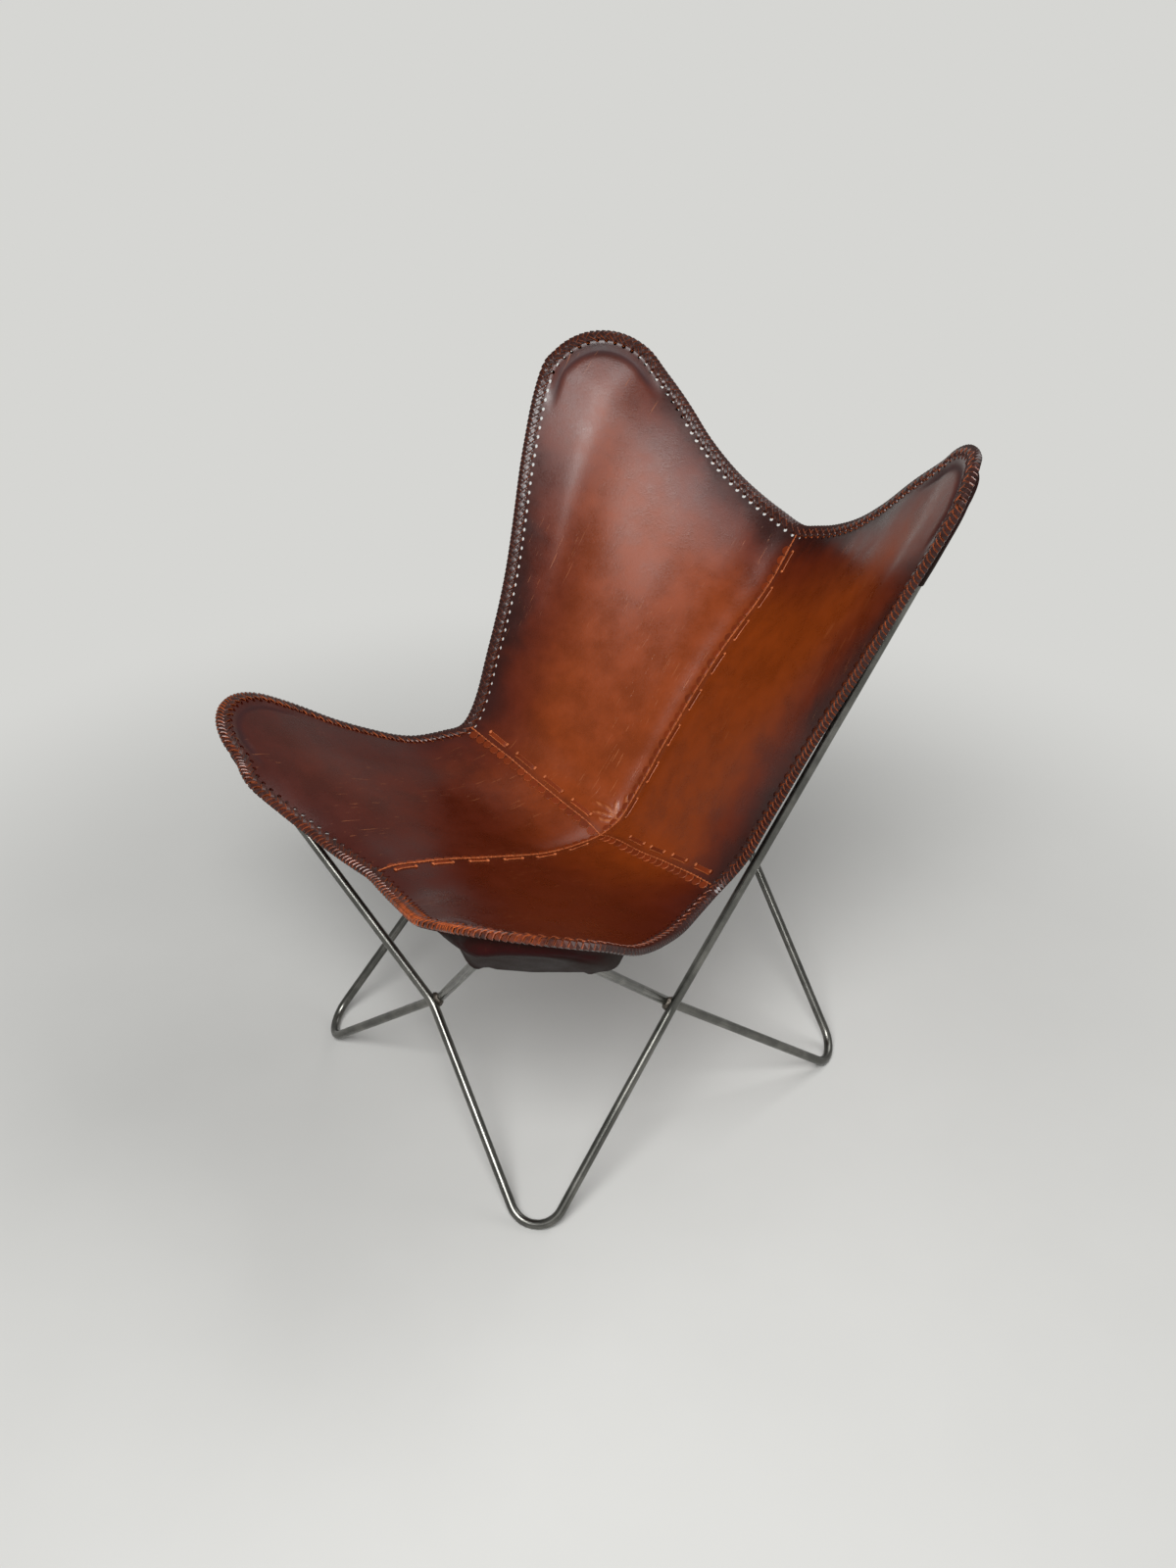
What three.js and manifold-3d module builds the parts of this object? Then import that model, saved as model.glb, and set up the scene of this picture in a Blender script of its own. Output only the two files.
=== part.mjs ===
// Butterfly sling chair: two closed loops of bent steel rod, welded where they cross,
// with a four-panel leather sling that hangs by pockets from the four horns.
// Millimetres. +X is the sitter's left, -Y is the front, +Z is up, and the floor is at zero.
import * as THREE from 'three';
import { mergeVertices } from 'three/addons/utils/BufferGeometryUtils.js';
import Module from 'manifold-3d';

const wasm = await Module();
wasm.setup();

// Driving dimensions: the steel rod
const rodDiameter = 12;
const footBendRadius = 36;
const hornBendRadius = 40;
const crossingBendRadius = 60;
const footWear = 0.4;
const weldDiameter = 21;
const weldRootDiameter = 5;
const jointGap = 0.3;

// Where the rods cross, turn at the floor and turn at the horns, before rounding
const frontCrossingReach = 232;
const frontCrossingHeight = 190;
const sideCrossingReach = 233;
const sideCrossingForward = 42;
const sideCrossingHeight = 235;
const rearCrossingReach = 275;
const rearCrossingHeight = 279;
const frontFootHalfWidth = 264;
const frontFootReach = 279;
const rearFootHalfWidth = 256;
const rearFootReach = 272;
const frontHornHalfWidth = 346;
const frontHornReach = 357;
const frontHornHeight = 552;
const rearHornHalfWidth = 365;
const rearHornReach = 328;
const rearHornHeight = 973;

// The leather sling
const leatherThickness = 3.6;
const rearTipRadius = 92;
const frontTipRadius = 100;
const rearTipOverhang = 27;
const frontTipOverhang = 32;
const waistHalfWidth = 262;
const waistBack = 4;
const waistHeight = 400;
const seatCentreBack = 37;
const seatCentreHeight = 330;
const topCentreBack = 379;
const topCentreHeight = 684;
const frontCentreReach = 313;
const frontCentreHeight = 411;

// Horn pockets, sewn under the four corners of the sling
const pocketThickness = 2.4;
const pocketEdgeLength = 190;
const pocketEdgeInset = 2;
const pocketSewingMargin = 8.5;
const pocketWallRun = 9;
const pocketSeatGap = 0.8;

// Braided thong round the edge, and the lapped strips over the seams
const braidTopWidth = 16;
const braidUnderWidth = 6;
const braidThickness = 2.4;
const braidGap = 0.5;
const braidLipGap = 0.98;
const seamStripWidth = 13;
const seamStripThickness = 2;
const seamStripGap = 0.5;
const crossStripSetback = 2;

// Shares: how the tips lean, and how the free edges run between their ends
const tipArcShare = 0.333;
const frontTipSlopeShare = 0.2;
const frontTipLeanShare = 0.085;
const rearTipLeanShare = 0.14;
const mouthBulgeShare = 0.12;
const backEdgeRiseShares = [
  [0.07, 0.115, 0.055], [0.175, 0.245, 0.175], [0.35, 0.45, 0.385],
  [0.525, 0.585, 0.54], [0.81, 0.785, 0.785],
];
const seatEdgeRunShares = [
  [0.13, 0.18, -0.11], [0.30, 0.335, -0.10], [0.56, 0.53, 0.13],
  [0.80, 0.71, 0.41], [0.96, 0.85, 0.69],
];
const topEdgeShares = [
  [0.19, 0.11, 0.08], [0.43, 0.42, 0.26], [0.63, 0.67, 0.49], [0.81, 0.80, 0.75],
];
const frontEdgeShares = [
  [0.29, 0.18, 0.04], [0.45, 0.40, 0.20], [0.65, 0.80, 0.52], [0.83, 1.13, 0.83],
];
const backSeamShares = [
  [0.08, 0.02], [0.21, 0.155], [0.36, 0.335], [0.51, 0.50], [0.66, 0.645], [0.83, 0.79],
];
const seatSeamShares = [
  [0.10, 0.0], [0.27, 0.11], [0.41, 0.30], [0.55, 0.51], [0.68, 0.72], [0.81, 0.89], [0.92, 1.01],
];
const crossSeamShares = [
  [0.12, 0.12, 0.17], [0.38, 0.38, 0.41], [0.64, 0.64, 0.69], [0.86, 0.86, 0.89],
];
const pocketInsetShares = [0.45, 0.6, 0.75, 0.88];

// Mesh fineness: counts only
const rodSides = 12;
const bendSteps = 8;
const crossingSteps = 3;
const flatCells = 11;
const tipCells = 5;
const pocketFloorCells = 3;
const pocketDepthCells = 5;
const searchRounds = 16;
const lengthSamples = 240;
const footSearchSteps = 64;
const footSearchRounds = 12;
const beadSegments = 16;
const beadRings = 10;
const normalStepShare = 0.01;

const rodRadius = rodDiameter / 2;
const seatOnRod = rodRadius + jointGap;
const sides = { left: 1, right: -1 };

// Materials, one of each finish shared through the small makers below
const steel = () => new THREE.MeshStandardMaterial({ color: 0x4a4c4b, roughness: 0.35, metalness: 1 });
const weldSteel = () => new THREE.MeshStandardMaterial({ color: 0x3a3b3a, roughness: 0.6, metalness: 1 });
const panelLeather = () => new THREE.MeshStandardMaterial({ color: 0x7a3212, roughness: 0.38 });
const pocketLeather = () => new THREE.MeshStandardMaterial({ color: 0x4c1a10, roughness: 0.5 });
const braidLeather = () => new THREE.MeshStandardMaterial({ color: 0x3c1610, roughness: 0.55 });
const seamLeather = () => new THREE.MeshStandardMaterial({ color: 0x8a3e16, roughness: 0.5 });

const chair = new THREE.Group();

function addPiece(name, geometry, material) {
  const piece = new THREE.Mesh(geometry, material);
  piece.name = name;
  chair.add(piece);
}

// Small vector helpers
const at = (x, y, z) => new THREE.Vector3(x, y, z);
const along = (start, direction, distance) => start.clone().addScaledVector(direction, distance);
const heading = (from, to) => to.clone().sub(from).normalize();

// A path that visits chosen stations, so straights take one step and bends take many
class StationPath extends THREE.Curve {
  constructor(stations) {
    super();
    this.stations = stations;
  }

  sample(t, key) {
    const last = this.stations.length - 1;
    const index = Math.min(Math.floor(t * last), last - 1);
    const blend = t * last - index;
    return this.stations[index][key].clone().lerp(this.stations[index + 1][key], blend);
  }

  getPoint(t) {
    return this.sample(t, 'point');
  }

  getPointAt(t) {
    return this.getPoint(t);
  }

  getTangent(t) {
    return this.sample(t, 'tangent').normalize();
  }

  getTangentAt(t) {
    return this.getTangent(t);
  }
}

// Stations round a bend of a given radius that rounds the corner between two straights
function bendStations(before, corner, after, radius, steps) {
  const into = heading(before, corner);
  const out = heading(corner, after);
  const turn = Math.acos(into.dot(out));
  const setback = radius * Math.tan(turn / 2);
  const inward = out.clone().sub(into).normalize();
  const centre = along(corner, inward, radius / Math.cos(turn / 2));
  const first = along(corner, into, -setback).sub(centre);
  const stations = [];
  for (let i = 0; i <= steps; i++) {
    const angle = (turn * i) / steps;
    const side = into.clone().multiplyScalar(Math.sin(angle) * radius);
    const point = centre.clone().add(first.clone().multiplyScalar(Math.cos(angle))).add(side);
    const tangent = into.clone().multiplyScalar(Math.cos(angle));
    tangent.addScaledVector(first, -Math.sin(angle) / radius);
    stations.push({ point, tangent: tangent.normalize() });
  }
  return stations;
}

// A round rod along a station path
function rodGeometry(stations, radius) {
  const section = new THREE.Shape();
  for (let i = 0; i < rodSides; i++) {
    const angle = (2 * Math.PI * (i + 0.5)) / rodSides;
    const x = radius * Math.cos(angle);
    const y = radius * Math.sin(angle);
    if (i === 0) section.moveTo(x, y);
    else section.lineTo(x, y);
  }
  section.closePath();
  const path = new StationPath(stations);
  return new THREE.ExtrudeGeometry(section, { steps: stations.length - 1, extrudePath: path });
}

// Closed solids for joining and cutting
function toSolid(geometry) {
  const bare = geometry.clone();
  bare.deleteAttribute('normal');
  bare.deleteAttribute('uv');
  const welded = mergeVertices(bare);
  return new wasm.Manifold(new wasm.Mesh({
    numProp: 3,
    vertProperties: new Float32Array(welded.attributes.position.array),
    triVerts: new Uint32Array(welded.index.array),
  }));
}

function fromSolid(solid) {
  const mesh = solid.getMesh();
  const geometry = new THREE.BufferGeometry();
  const corners = Array.from(mesh.vertProperties);
  geometry.setAttribute('position', new THREE.Float32BufferAttribute(corners, 3));
  geometry.setIndex(Array.from(mesh.triVerts));
  geometry.computeVertexNormals();
  return geometry;
}

// Corners of the two rod loops. Each crossing has one loop outside the other.
const crossings = {
  front: at(0, -frontCrossingReach, frontCrossingHeight),
  left: at(sideCrossingReach, -sideCrossingForward, sideCrossingHeight),
  right: at(-sideCrossingReach, -sideCrossingForward, sideCrossingHeight),
  rear: at(0, rearCrossingReach, rearCrossingHeight),
};
const horns = {
  front_left: at(frontHornHalfWidth, -frontHornReach, frontHornHeight),
  front_right: at(-frontHornHalfWidth, -frontHornReach, frontHornHeight),
  rear_left: at(rearHornHalfWidth, rearHornReach, rearHornHeight),
  rear_right: at(-rearHornHalfWidth, rearHornReach, rearHornHeight),
};
const feet = {
  front_left: at(frontFootHalfWidth, -frontFootReach, 0),
  front_right: at(-frontFootHalfWidth, -frontFootReach, 0),
  rear_left: at(rearFootHalfWidth, rearFootReach, 0),
  rear_right: at(-rearFootHalfWidth, rearFootReach, 0),
};
const legRuns = [
  { horn: 'front_right', crossing: 'front', foot: 'front_left', outer: true },
  { horn: 'front_left', crossing: 'front', foot: 'front_right', outer: false },
  { horn: 'rear_left', crossing: 'left', foot: 'front_left', outer: true },
  { horn: 'front_left', crossing: 'left', foot: 'rear_left', outer: false },
  { horn: 'front_right', crossing: 'right', foot: 'rear_right', outer: true },
  { horn: 'rear_right', crossing: 'right', foot: 'front_right', outer: false },
  { horn: 'rear_right', crossing: 'rear', foot: 'rear_left', outer: true },
  { horn: 'rear_left', crossing: 'rear', foot: 'rear_right', outer: false },
];

// The two rods at a crossing stand side by side along the line square to both
function crossingOffset(name) {
  const [first, second] = legRuns.filter((run) => run.crossing === name);
  const firstWay = heading(horns[first.horn], feet[first.foot]);
  const secondWay = heading(horns[second.horn], feet[second.foot]);
  const square = firstWay.cross(secondWay).normalize();
  const outward = at(crossings[name].x, crossings[name].y, 0);
  return square.dot(outward) < 0 ? square.negate() : square;
}

function crossingPoint(run) {
  const shift = (rodRadius + jointGap / 2) * (run.outer ? 1 : -1);
  return along(crossings[run.crossing], crossingOffset(run.crossing), shift);
}

function runsAt(key, name) {
  return legRuns.filter((run) => run[key] === name);
}

// A foot corner is lowered until its rounded bend just reaches below the floor by the wear
function seatFoot(name) {
  const [first, second] = runsAt('foot', name);
  const lowest = rodRadius - footWear;
  for (let round = 0; round < footSearchRounds; round++) {
    const bend = bendStations(
      crossingPoint(first), feet[name], crossingPoint(second), footBendRadius, footSearchSteps,
    );
    const height = Math.min(...bend.map((station) => station.point.z));
    feet[name].z += lowest - height;
  }
}
Object.keys(feet).forEach(seatFoot);

function cornerStations(key, name, corner, radius) {
  const [first, second] = runsAt(key, name);
  return bendStations(crossingPoint(first), corner, crossingPoint(second), radius, bendSteps);
}

// One leg runs straight from a horn to its crossing, bends a little there and runs to a foot
function legStations(run) {
  const middle = crossingPoint(run);
  const hornBend = cornerStations('horn', run.horn, horns[run.horn], hornBendRadius);
  const footBend = cornerStations('foot', run.foot, feet[run.foot], footBendRadius);
  const nearest = (bend) => {
    const ends = [bend[0].point, bend[bend.length - 1].point];
    return ends[0].distanceTo(middle) < ends[1].distanceTo(middle) ? ends[0] : ends[1];
  };
  const top = nearest(hornBend);
  const bottom = nearest(footBend);
  const down = heading(horns[run.horn], middle);
  const outward = heading(middle, feet[run.foot]);
  const bend = bendStations(top, middle, bottom, crossingBendRadius, crossingSteps);
  return [
    { point: along(top, down, jointGap), tangent: down },
    ...bend,
    { point: along(bottom, outward, -jointGap), tangent: outward },
  ];
}

function addLegs() {
  for (const run of legRuns) {
    const geometry = rodGeometry(legStations(run), rodRadius);
    addPiece(`leg_${run.horn}_horn_to_${run.foot}_foot`, geometry, steel());
  }
}

function addHornBends() {
  for (const [name, corner] of Object.entries(horns)) {
    const stations = cornerStations('horn', name, corner, hornBendRadius);
    addPiece(`${name}_horn_bend`, rodGeometry(stations, rodRadius), steel());
  }
}

// The foot bends carry small worn flats where the rod stands on the floor
function addFootBends() {
  for (const [name, corner] of Object.entries(feet)) {
    const stations = cornerStations('foot', name, corner, footBendRadius);
    const rod = toSolid(rodGeometry(stations, rodRadius));
    const worn = rod.trimByPlane([0, 0, 1], 0);
    addPiece(`${name}_foot_bend`, fromSolid(worn), steel());
  }
}

// A weld bead fills the corners between two crossing rods, and stays off their touching point
function addWelds() {
  for (const name of Object.keys(crossings)) {
    const rootRadius = weldRootDiameter / 2;
    const bead = new THREE.SphereGeometry(weldDiameter / 2, beadSegments, beadRings);
    const root = new THREE.CylinderGeometry(rootRadius, rootRadius, rodDiameter, rodSides);
    const [first, second] = runsAt('crossing', name);
    const square = crossingOffset(name);
    for (const shape of [bead, root]) {
      shape.applyQuaternion(new THREE.Quaternion().setFromUnitVectors(at(0, 1, 0), square));
      shape.translate(...crossings[name].toArray());
    }
    let weld = toSolid(bead).subtract(toSolid(root));
    for (const run of [first, second]) {
      weld = weld.subtract(toSolid(rodGeometry(legStations(run), rodRadius + jointGap)));
    }
    addPiece(`${name}_weld`, fromSolid(weld), weldSteel());
  }
}

// The frame of a horn: its apex, the way out over it, the way across and the leather's side
function hornFrame(name) {
  const [first, second] = runsAt('horn', name);
  const corner = horns[name];
  const one = heading(corner, crossingPoint(first));
  const two = heading(corner, crossingPoint(second));
  const half = Math.acos(one.dot(two)) / 2;
  const inward = one.clone().add(two).normalize();
  const apex = along(corner, inward, hornBendRadius * (1 / Math.sin(half) - 1));
  const lift = one.clone().cross(two).normalize();
  if (lift.z < 0) lift.negate();
  const out = inward.clone().negate();
  const across = lift.clone().cross(out);
  return { apex, out, across, lift };
}

// Sling geometry. Every point is on the underside of the leather, the side that rests on rod.
// Places near a horn are given in the horn's own frame, so the leather follows the rod.
const tips = {
  rear: {
    radius: rearTipRadius,
    overhang: rearTipOverhang,
    slopeShare: 0,
    leanShare: rearTipLeanShare,
  },
  front: {
    radius: frontTipRadius,
    overhang: frontTipOverhang,
    slopeShare: frontTipSlopeShare,
    leanShare: frontTipLeanShare,
  },
};

// The tip's rounded outline: angle 0 is the tip itself, and positive angles turn to the side edge
function tipPoint(end, side, angle) {
  const frame = hornFrame(`${end}_${side}`);
  const towardSide = (end === 'rear' ? -1 : 1) * sides[side];
  const { radius, overhang, slopeShare, leanShare } = tips[end];
  const out = overhang - radius * (1 - Math.cos(angle));
  const across = radius * Math.sin(angle);
  const seat = seatOnRod * Math.hypot(1, slopeShare, end === 'front' ? leanShare : 0);
  const lean = end === 'front' ? -across : Math.max(0, -across);
  const lift = seat - slopeShare * out + leanShare * lean;
  const point = along(frame.apex, frame.out, out);
  point.addScaledVector(frame.across, across * towardSide);
  return point.addScaledVector(frame.lift, lift);
}

// A point part way between two others, with its own share for each direction
function between(from, to, share) {
  return at(
    from.x + (to.x - from.x) * share[0],
    from.y + (to.y - from.y) * share[1],
    from.z + (to.z - from.z) * share[2],
  );
}

// Part of a curve between two of its points, walked evenly by length
function evenRun(points, first, last) {
  const curve = new THREE.CatmullRomCurve3(points);
  const step = 1 / (points.length - 1);
  const samples = [];
  for (let i = 0; i <= lengthSamples; i++) {
    samples.push(curve.getPoint(step * (first + ((last - first) * i) / lengthSamples)));
  }
  const lengths = [0];
  for (let i = 1; i < samples.length; i++) {
    lengths.push(lengths[i - 1] + samples[i].distanceTo(samples[i - 1]));
  }
  const total = lengths[lengths.length - 1];
  const pointAt = (share) => {
    const target = share * total;
    let index = lengths.findIndex((length) => length >= target);
    index = Math.max(1, index < 0 ? lengths.length - 1 : index);
    const span = lengths[index] - lengths[index - 1];
    return samples[index - 1].clone().lerp(samples[index], (target - lengths[index - 1]) / span);
  };
  return { pointAt, total };
}

const seatCentre = at(0, seatCentreBack, seatCentreHeight);
const topCentre = at(0, topCentreBack, topCentreHeight);
const frontCentre = at(0, -frontCentreReach, frontCentreHeight);
const tipArc = tipArcShare * Math.PI;
const leadInShare = 0.75;

const seamShares = (pairs) => pairs.map(([back, up]) => [0, back, up]);

// The centre seam runs from the top, through the seat's lowest point, to the front
function centreSeam(end) {
  const back = seamShares(backSeamShares).map((share) => between(seatCentre, topCentre, share));
  const front = seamShares(seatSeamShares).map((share) => between(seatCentre, frontCentre, share));
  const points = [topCentre, ...back.reverse(), seatCentre, ...front, frontCentre];
  const middle = back.length + 1;
  return end === 'rear' ? evenRun(points, middle, 0) : evenRun(points, middle, points.length - 1);
}

function crossSeam(side) {
  const waist = at(waistHalfWidth * sides[side], waistBack, waistHeight);
  const inner = crossSeamShares.map((share) => between(seatCentre, waist, share));
  const points = [seatCentre, ...inner, waist];
  return evenRun(points, 0, points.length - 1);
}

// The side edge runs from the rear tip, in at the waist and out to the front tip
function sideEdge(end, side) {
  const waist = at(waistHalfWidth * sides[side], waistBack, waistHeight);
  const rearEnd = tipPoint('rear', side, tipArc);
  const frontEnd = tipPoint('front', side, tipArc);
  const rise = backEdgeRiseShares.map((share) => between(waist, rearEnd, share)).reverse();
  const run = seatEdgeRunShares.map((share) => between(waist, frontEnd, share));
  const rearLead = tipPoint('rear', side, tipArc * leadInShare);
  const frontLead = tipPoint('front', side, tipArc * leadInShare);
  const points = [rearLead, rearEnd, ...rise, waist, ...run, frontEnd, frontLead];
  const middle = rise.length + 2;
  return end === 'rear' ? evenRun(points, middle, 1) : evenRun(points, middle, points.length - 2);
}

// The top and front edges run from the centre out to a tip
function outerEdge(end, side) {
  const start = end === 'rear' ? topCentre : frontCentre;
  const finish = tipPoint(end, side, -tipArc);
  const shares = end === 'rear' ? topEdgeShares : frontEdgeShares;
  const inner = shares.map((share) => between(start, finish, share));
  const points = [start, ...inner, finish, tipPoint(end, side, -tipArc * leadInShare)];
  return evenRun(points, 0, points.length - 2);
}

// One quarter of the sling, as a surface blended between its four edges. Both shares run
// from 0 to 1: the first from the centre seam out, the second from the cross seam to the tip.
function quarterSurface(end, side) {
  const inner = centreSeam(end);
  const cross = crossSeam(side);
  const edge = outerEdge(end, side);
  const flank = sideEdge(end, side);
  const arcLength = tips[end].radius * tipArc;
  const flatEdge = edge.total / (edge.total + arcLength);
  const flatFlank = flank.total / (flank.total + arcLength);
  const edgeAt = (share) => (share < flatEdge
    ? edge.pointAt(share / flatEdge)
    : tipPoint(end, side, (-tipArc * (1 - share)) / (1 - flatEdge)));
  const flankAt = (share) => (share < flatFlank
    ? flank.pointAt(share / flatFlank)
    : tipPoint(end, side, (tipArc * (1 - share)) / (1 - flatFlank)));
  const corner = tipPoint(end, side, 0);
  const outerCentre = edgeAt(0);
  const waist = flankAt(0);
  const pointAt = (out, up) => {
    const point = cross.pointAt(out).multiplyScalar(1 - up);
    point.addScaledVector(edgeAt(out), up);
    point.addScaledVector(inner.pointAt(up), 1 - out);
    point.addScaledVector(flankAt(up), out);
    point.addScaledVector(seatCentre, -(1 - out) * (1 - up));
    point.addScaledVector(waist, -out * (1 - up));
    point.addScaledVector(outerCentre, -(1 - out) * up);
    return point.addScaledVector(corner, -out * up);
  };
  const normalAt = (out, up) => {
    const step = normalStepShare;
    const a = Math.min(Math.max(out, 2 * step), 1 - 3 * step);
    const b = Math.min(Math.max(up, 2 * step), 1 - 3 * step);
    const sideways = pointAt(a + step, b).sub(pointAt(a - step, b));
    const upward = pointAt(a, b + step).sub(pointAt(a, b - step));
    const normal = sideways.cross(upward).normalize();
    return normal.z < 0 ? normal.negate() : normal;
  };
  const edgeLength = edge.total + arcLength;
  const flankLength = flank.total + arcLength;
  return { pointAt, normalAt, edgeLength, flankLength, flatEdge, flatFlank, edgeAt, flankAt };
}

const quarters = {};
for (const end of ['rear', 'front']) {
  for (const side of Object.keys(sides)) quarters[`${end}_${side}`] = quarterSurface(end, side);
}

// Rows and columns of a panel: even cells up to where the tip's arc starts, then even again
function cellShares(flatShare) {
  const shares = [];
  for (let i = 0; i <= flatCells; i++) shares.push((flatShare * i) / flatCells);
  for (let i = 1; i <= tipCells; i++) {
    shares.push(flatShare + ((1 - flatShare) * i) / tipCells);
  }
  return shares;
}

// Lower and upper points of a panel, with a fine gap left along both seams
function panelGrid(end, side) {
  const quarter = quarters[`${end}_${side}`];
  const opposite = quarters[`${end === 'rear' ? 'front' : 'rear'}_${side}`];
  const seamShare = jointGap / 2 / quarter.flankLength;
  const columns = cellShares(quarter.flatEdge);
  const rows = cellShares(quarter.flatFlank);
  const lower = [];
  const upper = [];
  rows.forEach((up, row) => {
    lower.push([]);
    upper.push([]);
    columns.forEach((out, column) => {
      const point = quarter.pointAt(out, row === 0 ? seamShare : up);
      const normal = quarter.normalAt(out, up);
      if (row === 0) normal.add(opposite.normalAt(out, up)).normalize();
      if (column === 0) {
        point.x = (sides[side] * jointGap) / 2;
        normal.setX(0).normalize();
      }
      lower[row].push(point);
      upper[row].push(along(point, normal, leatherThickness));
    });
  });
  return { lower, upper };
}

const grids = {};
for (const name of Object.keys(quarters)) grids[name] = panelGrid(...name.split('_'));

// A closed body from faces that may wind either way: its winding is set by its volume
function closedBody(points, faces) {
  const volume = faces.reduce((sum, [a, b, c]) => {
    const normal = points[b].clone().cross(points[c]);
    return sum + points[a].dot(normal);
  }, 0);
  const wound = volume < 0 ? faces.map(([a, b, c]) => [a, c, b]) : faces;
  const geometry = new THREE.BufferGeometry().setFromPoints(points);
  geometry.setIndex(wound.flat());
  geometry.computeVertexNormals();
  return geometry;
}

// A sheet with thickness, closed round its four edges
function sheetBody(lower, upper) {
  const rows = lower.length;
  const columns = lower[0].length;
  const points = [...lower.flat(), ...upper.flat()];
  const low = (row, column) => row * columns + column;
  const high = (row, column) => rows * columns + low(row, column);
  const faces = [];
  const quad = (a, b, c, d) => faces.push([a, b, c], [a, c, d]);
  for (let row = 0; row < rows - 1; row++) {
    for (let column = 0; column < columns - 1; column++) {
      quad(high(row, column), high(row, column + 1), high(row + 1, column + 1), high(row + 1, column));
      quad(low(row, column), low(row + 1, column), low(row + 1, column + 1), low(row, column + 1));
    }
  }
  for (let row = 0; row < rows - 1; row++) {
    const end = columns - 1;
    quad(low(row, 0), high(row, 0), high(row + 1, 0), low(row + 1, 0));
    quad(low(row, end), low(row + 1, end), high(row + 1, end), high(row, end));
  }
  for (let column = 0; column < columns - 1; column++) {
    const end = rows - 1;
    quad(low(0, column), low(0, column + 1), high(0, column + 1), high(0, column));
    quad(low(end, column), high(end, column), high(end, column + 1), low(end, column + 1));
  }
  return closedBody(points, faces);
}

function addPanels() {
  const names = { rear: 'back_panel', front: 'seat_panel' };
  for (const [name, grid] of Object.entries(grids)) {
    const [end, side] = name.split('_');
    addPiece(`${names[end]}_${side}`, sheetBody(grid.lower, grid.upper), panelLeather());
  }
}

// Where a pocket's point lies on the quarter: depth runs in from the tip, and turn runs
// from -1 on the outer edge to 1 on the side edge
function pocketPlace(quarter, depth, turn) {
  const bulge = mouthBulgeShare * (1 - turn * turn);
  const reach = pocketEdgeLength * depth;
  return {
    out: 1 - (reach * ((1 - turn) / 2 + bulge)) / quarter.edgeLength,
    up: 1 - (reach * ((1 + turn) / 2 + bulge)) / quarter.flankLength,
  };
}

// How far a point lies in from the sling's outline near a tip
function outlineInset(quarter) {
  const outline = [];
  for (let i = 0; i <= lengthSamples; i++) {
    const share = i / lengthSamples;
    outline.push(quarter.edgeAt(share), quarter.flankAt(share));
  }
  return (point) => Math.min(...outline.map((mark) => mark.distanceTo(point)));
}

// Halves a span of shares, round by round, down to where a rising measure meets its target
function shareWhere(measure, target) {
  let low = 0;
  let high = 1;
  for (let round = 0; round < searchRounds; round++) {
    const middle = (low + high) / 2;
    if (measure(middle) < target) low = middle;
    else high = middle;
  }
  return high;
}

// Insets of the pocket's sewn edge and its wall, from the outline inwards
const wallInsets = [
  pocketEdgeInset,
  pocketSewingMargin,
  pocketSewingMargin + pocketWallRun / 2,
  pocketSewingMargin + pocketWallRun,
];

// Rows of a pocket, from the tip down its wall and evenly on to its mouth
function pocketDepths(insetAt) {
  const depths = wallInsets.map((inset) => shareWhere((depth) => insetAt(depth, 0), inset));
  const start = depths[depths.length - 1];
  for (let i = 1; i <= pocketDepthCells; i++) {
    depths.push(start + ((1 - start) * i) / pocketDepthCells);
  }
  return depths;
}

// Turns across one row of a pocket: sewn edge, wall and floor, then the same again outwards
function pocketTurns(insetAt, depth) {
  const deepest = insetAt(depth, 0);
  const half = (sign) => {
    const turns = wallInsets.map((inset, i) => {
      const target = Math.min(inset, deepest * pocketInsetShares[i]);
      return sign * (1 - shareWhere((share) => insetAt(depth, sign * (1 - share)), target));
    });
    const floor = turns[turns.length - 1];
    for (let i = 1; i < pocketFloorCells; i++) turns.push(floor * (1 - i / pocketFloorCells));
    return turns;
  };
  return [...half(-1), 0, ...half(1).reverse()];
}

// A pocket lies close under the leather where it is sewn, then drops to pass under the rod
function addPockets() {
  for (const [name, quarter] of Object.entries(quarters)) {
    const frame = hornFrame(name);
    const insetOf = outlineInset(quarter);
    const lower = [];
    const upper = [];
    const insetAt = (depth, turn) => {
      const { out, up } = pocketPlace(quarter, depth, turn);
      return insetOf(quarter.pointAt(out, up));
    };
    for (const depth of pocketDepths(insetAt)) {
      const row = pocketTurns(insetAt, depth).map((turn) => {
        const { out, up } = pocketPlace(quarter, depth, turn);
        const point = quarter.pointAt(out, up);
        const normal = quarter.normalAt(out, up);
        const wallStart = insetOf(point) - pocketSewingMargin;
        const wall = THREE.MathUtils.smoothstep(wallStart, 0, pocketWallRun);
        const lift = point.clone().sub(frame.apex).dot(frame.lift);
        const drop = Math.max(0, (lift + seatOnRod) / normal.dot(frame.lift) - pocketSeatGap);
        return { point: along(point, normal, -(pocketSeatGap + wall * drop)), normal };
      });
      upper.push(row.map(({ point }) => point));
      lower.push(row.map(({ point, normal }) => along(point, normal, -pocketThickness)));
    }
    addPiece(`${name}_pocket`, sheetBody(lower, upper), pocketLeather());
  }
}

// Edge stations for the braid: a point in the middle of the leather and the way it faces
function edgeStation(grid, row, column) {
  const low = grid.lower[row][column];
  const high = grid.upper[row][column];
  return { point: low.clone().add(high).multiplyScalar(0.5), normal: heading(low, high) };
}

const lastCell = flatCells + tipCells;
const countTo = (from, to) => {
  const step = Math.sign(to - from);
  return Array.from({ length: Math.abs(to - from) + 1 }, (_, i) => from + step * i);
};
const edgeRun = (name, from, to) => countTo(from, to).map((i) => edgeStation(grids[name], lastCell, i));
const flankRun = (name, from, to) => countTo(from, to).map((i) => edgeStation(grids[name], i, lastCell));

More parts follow.
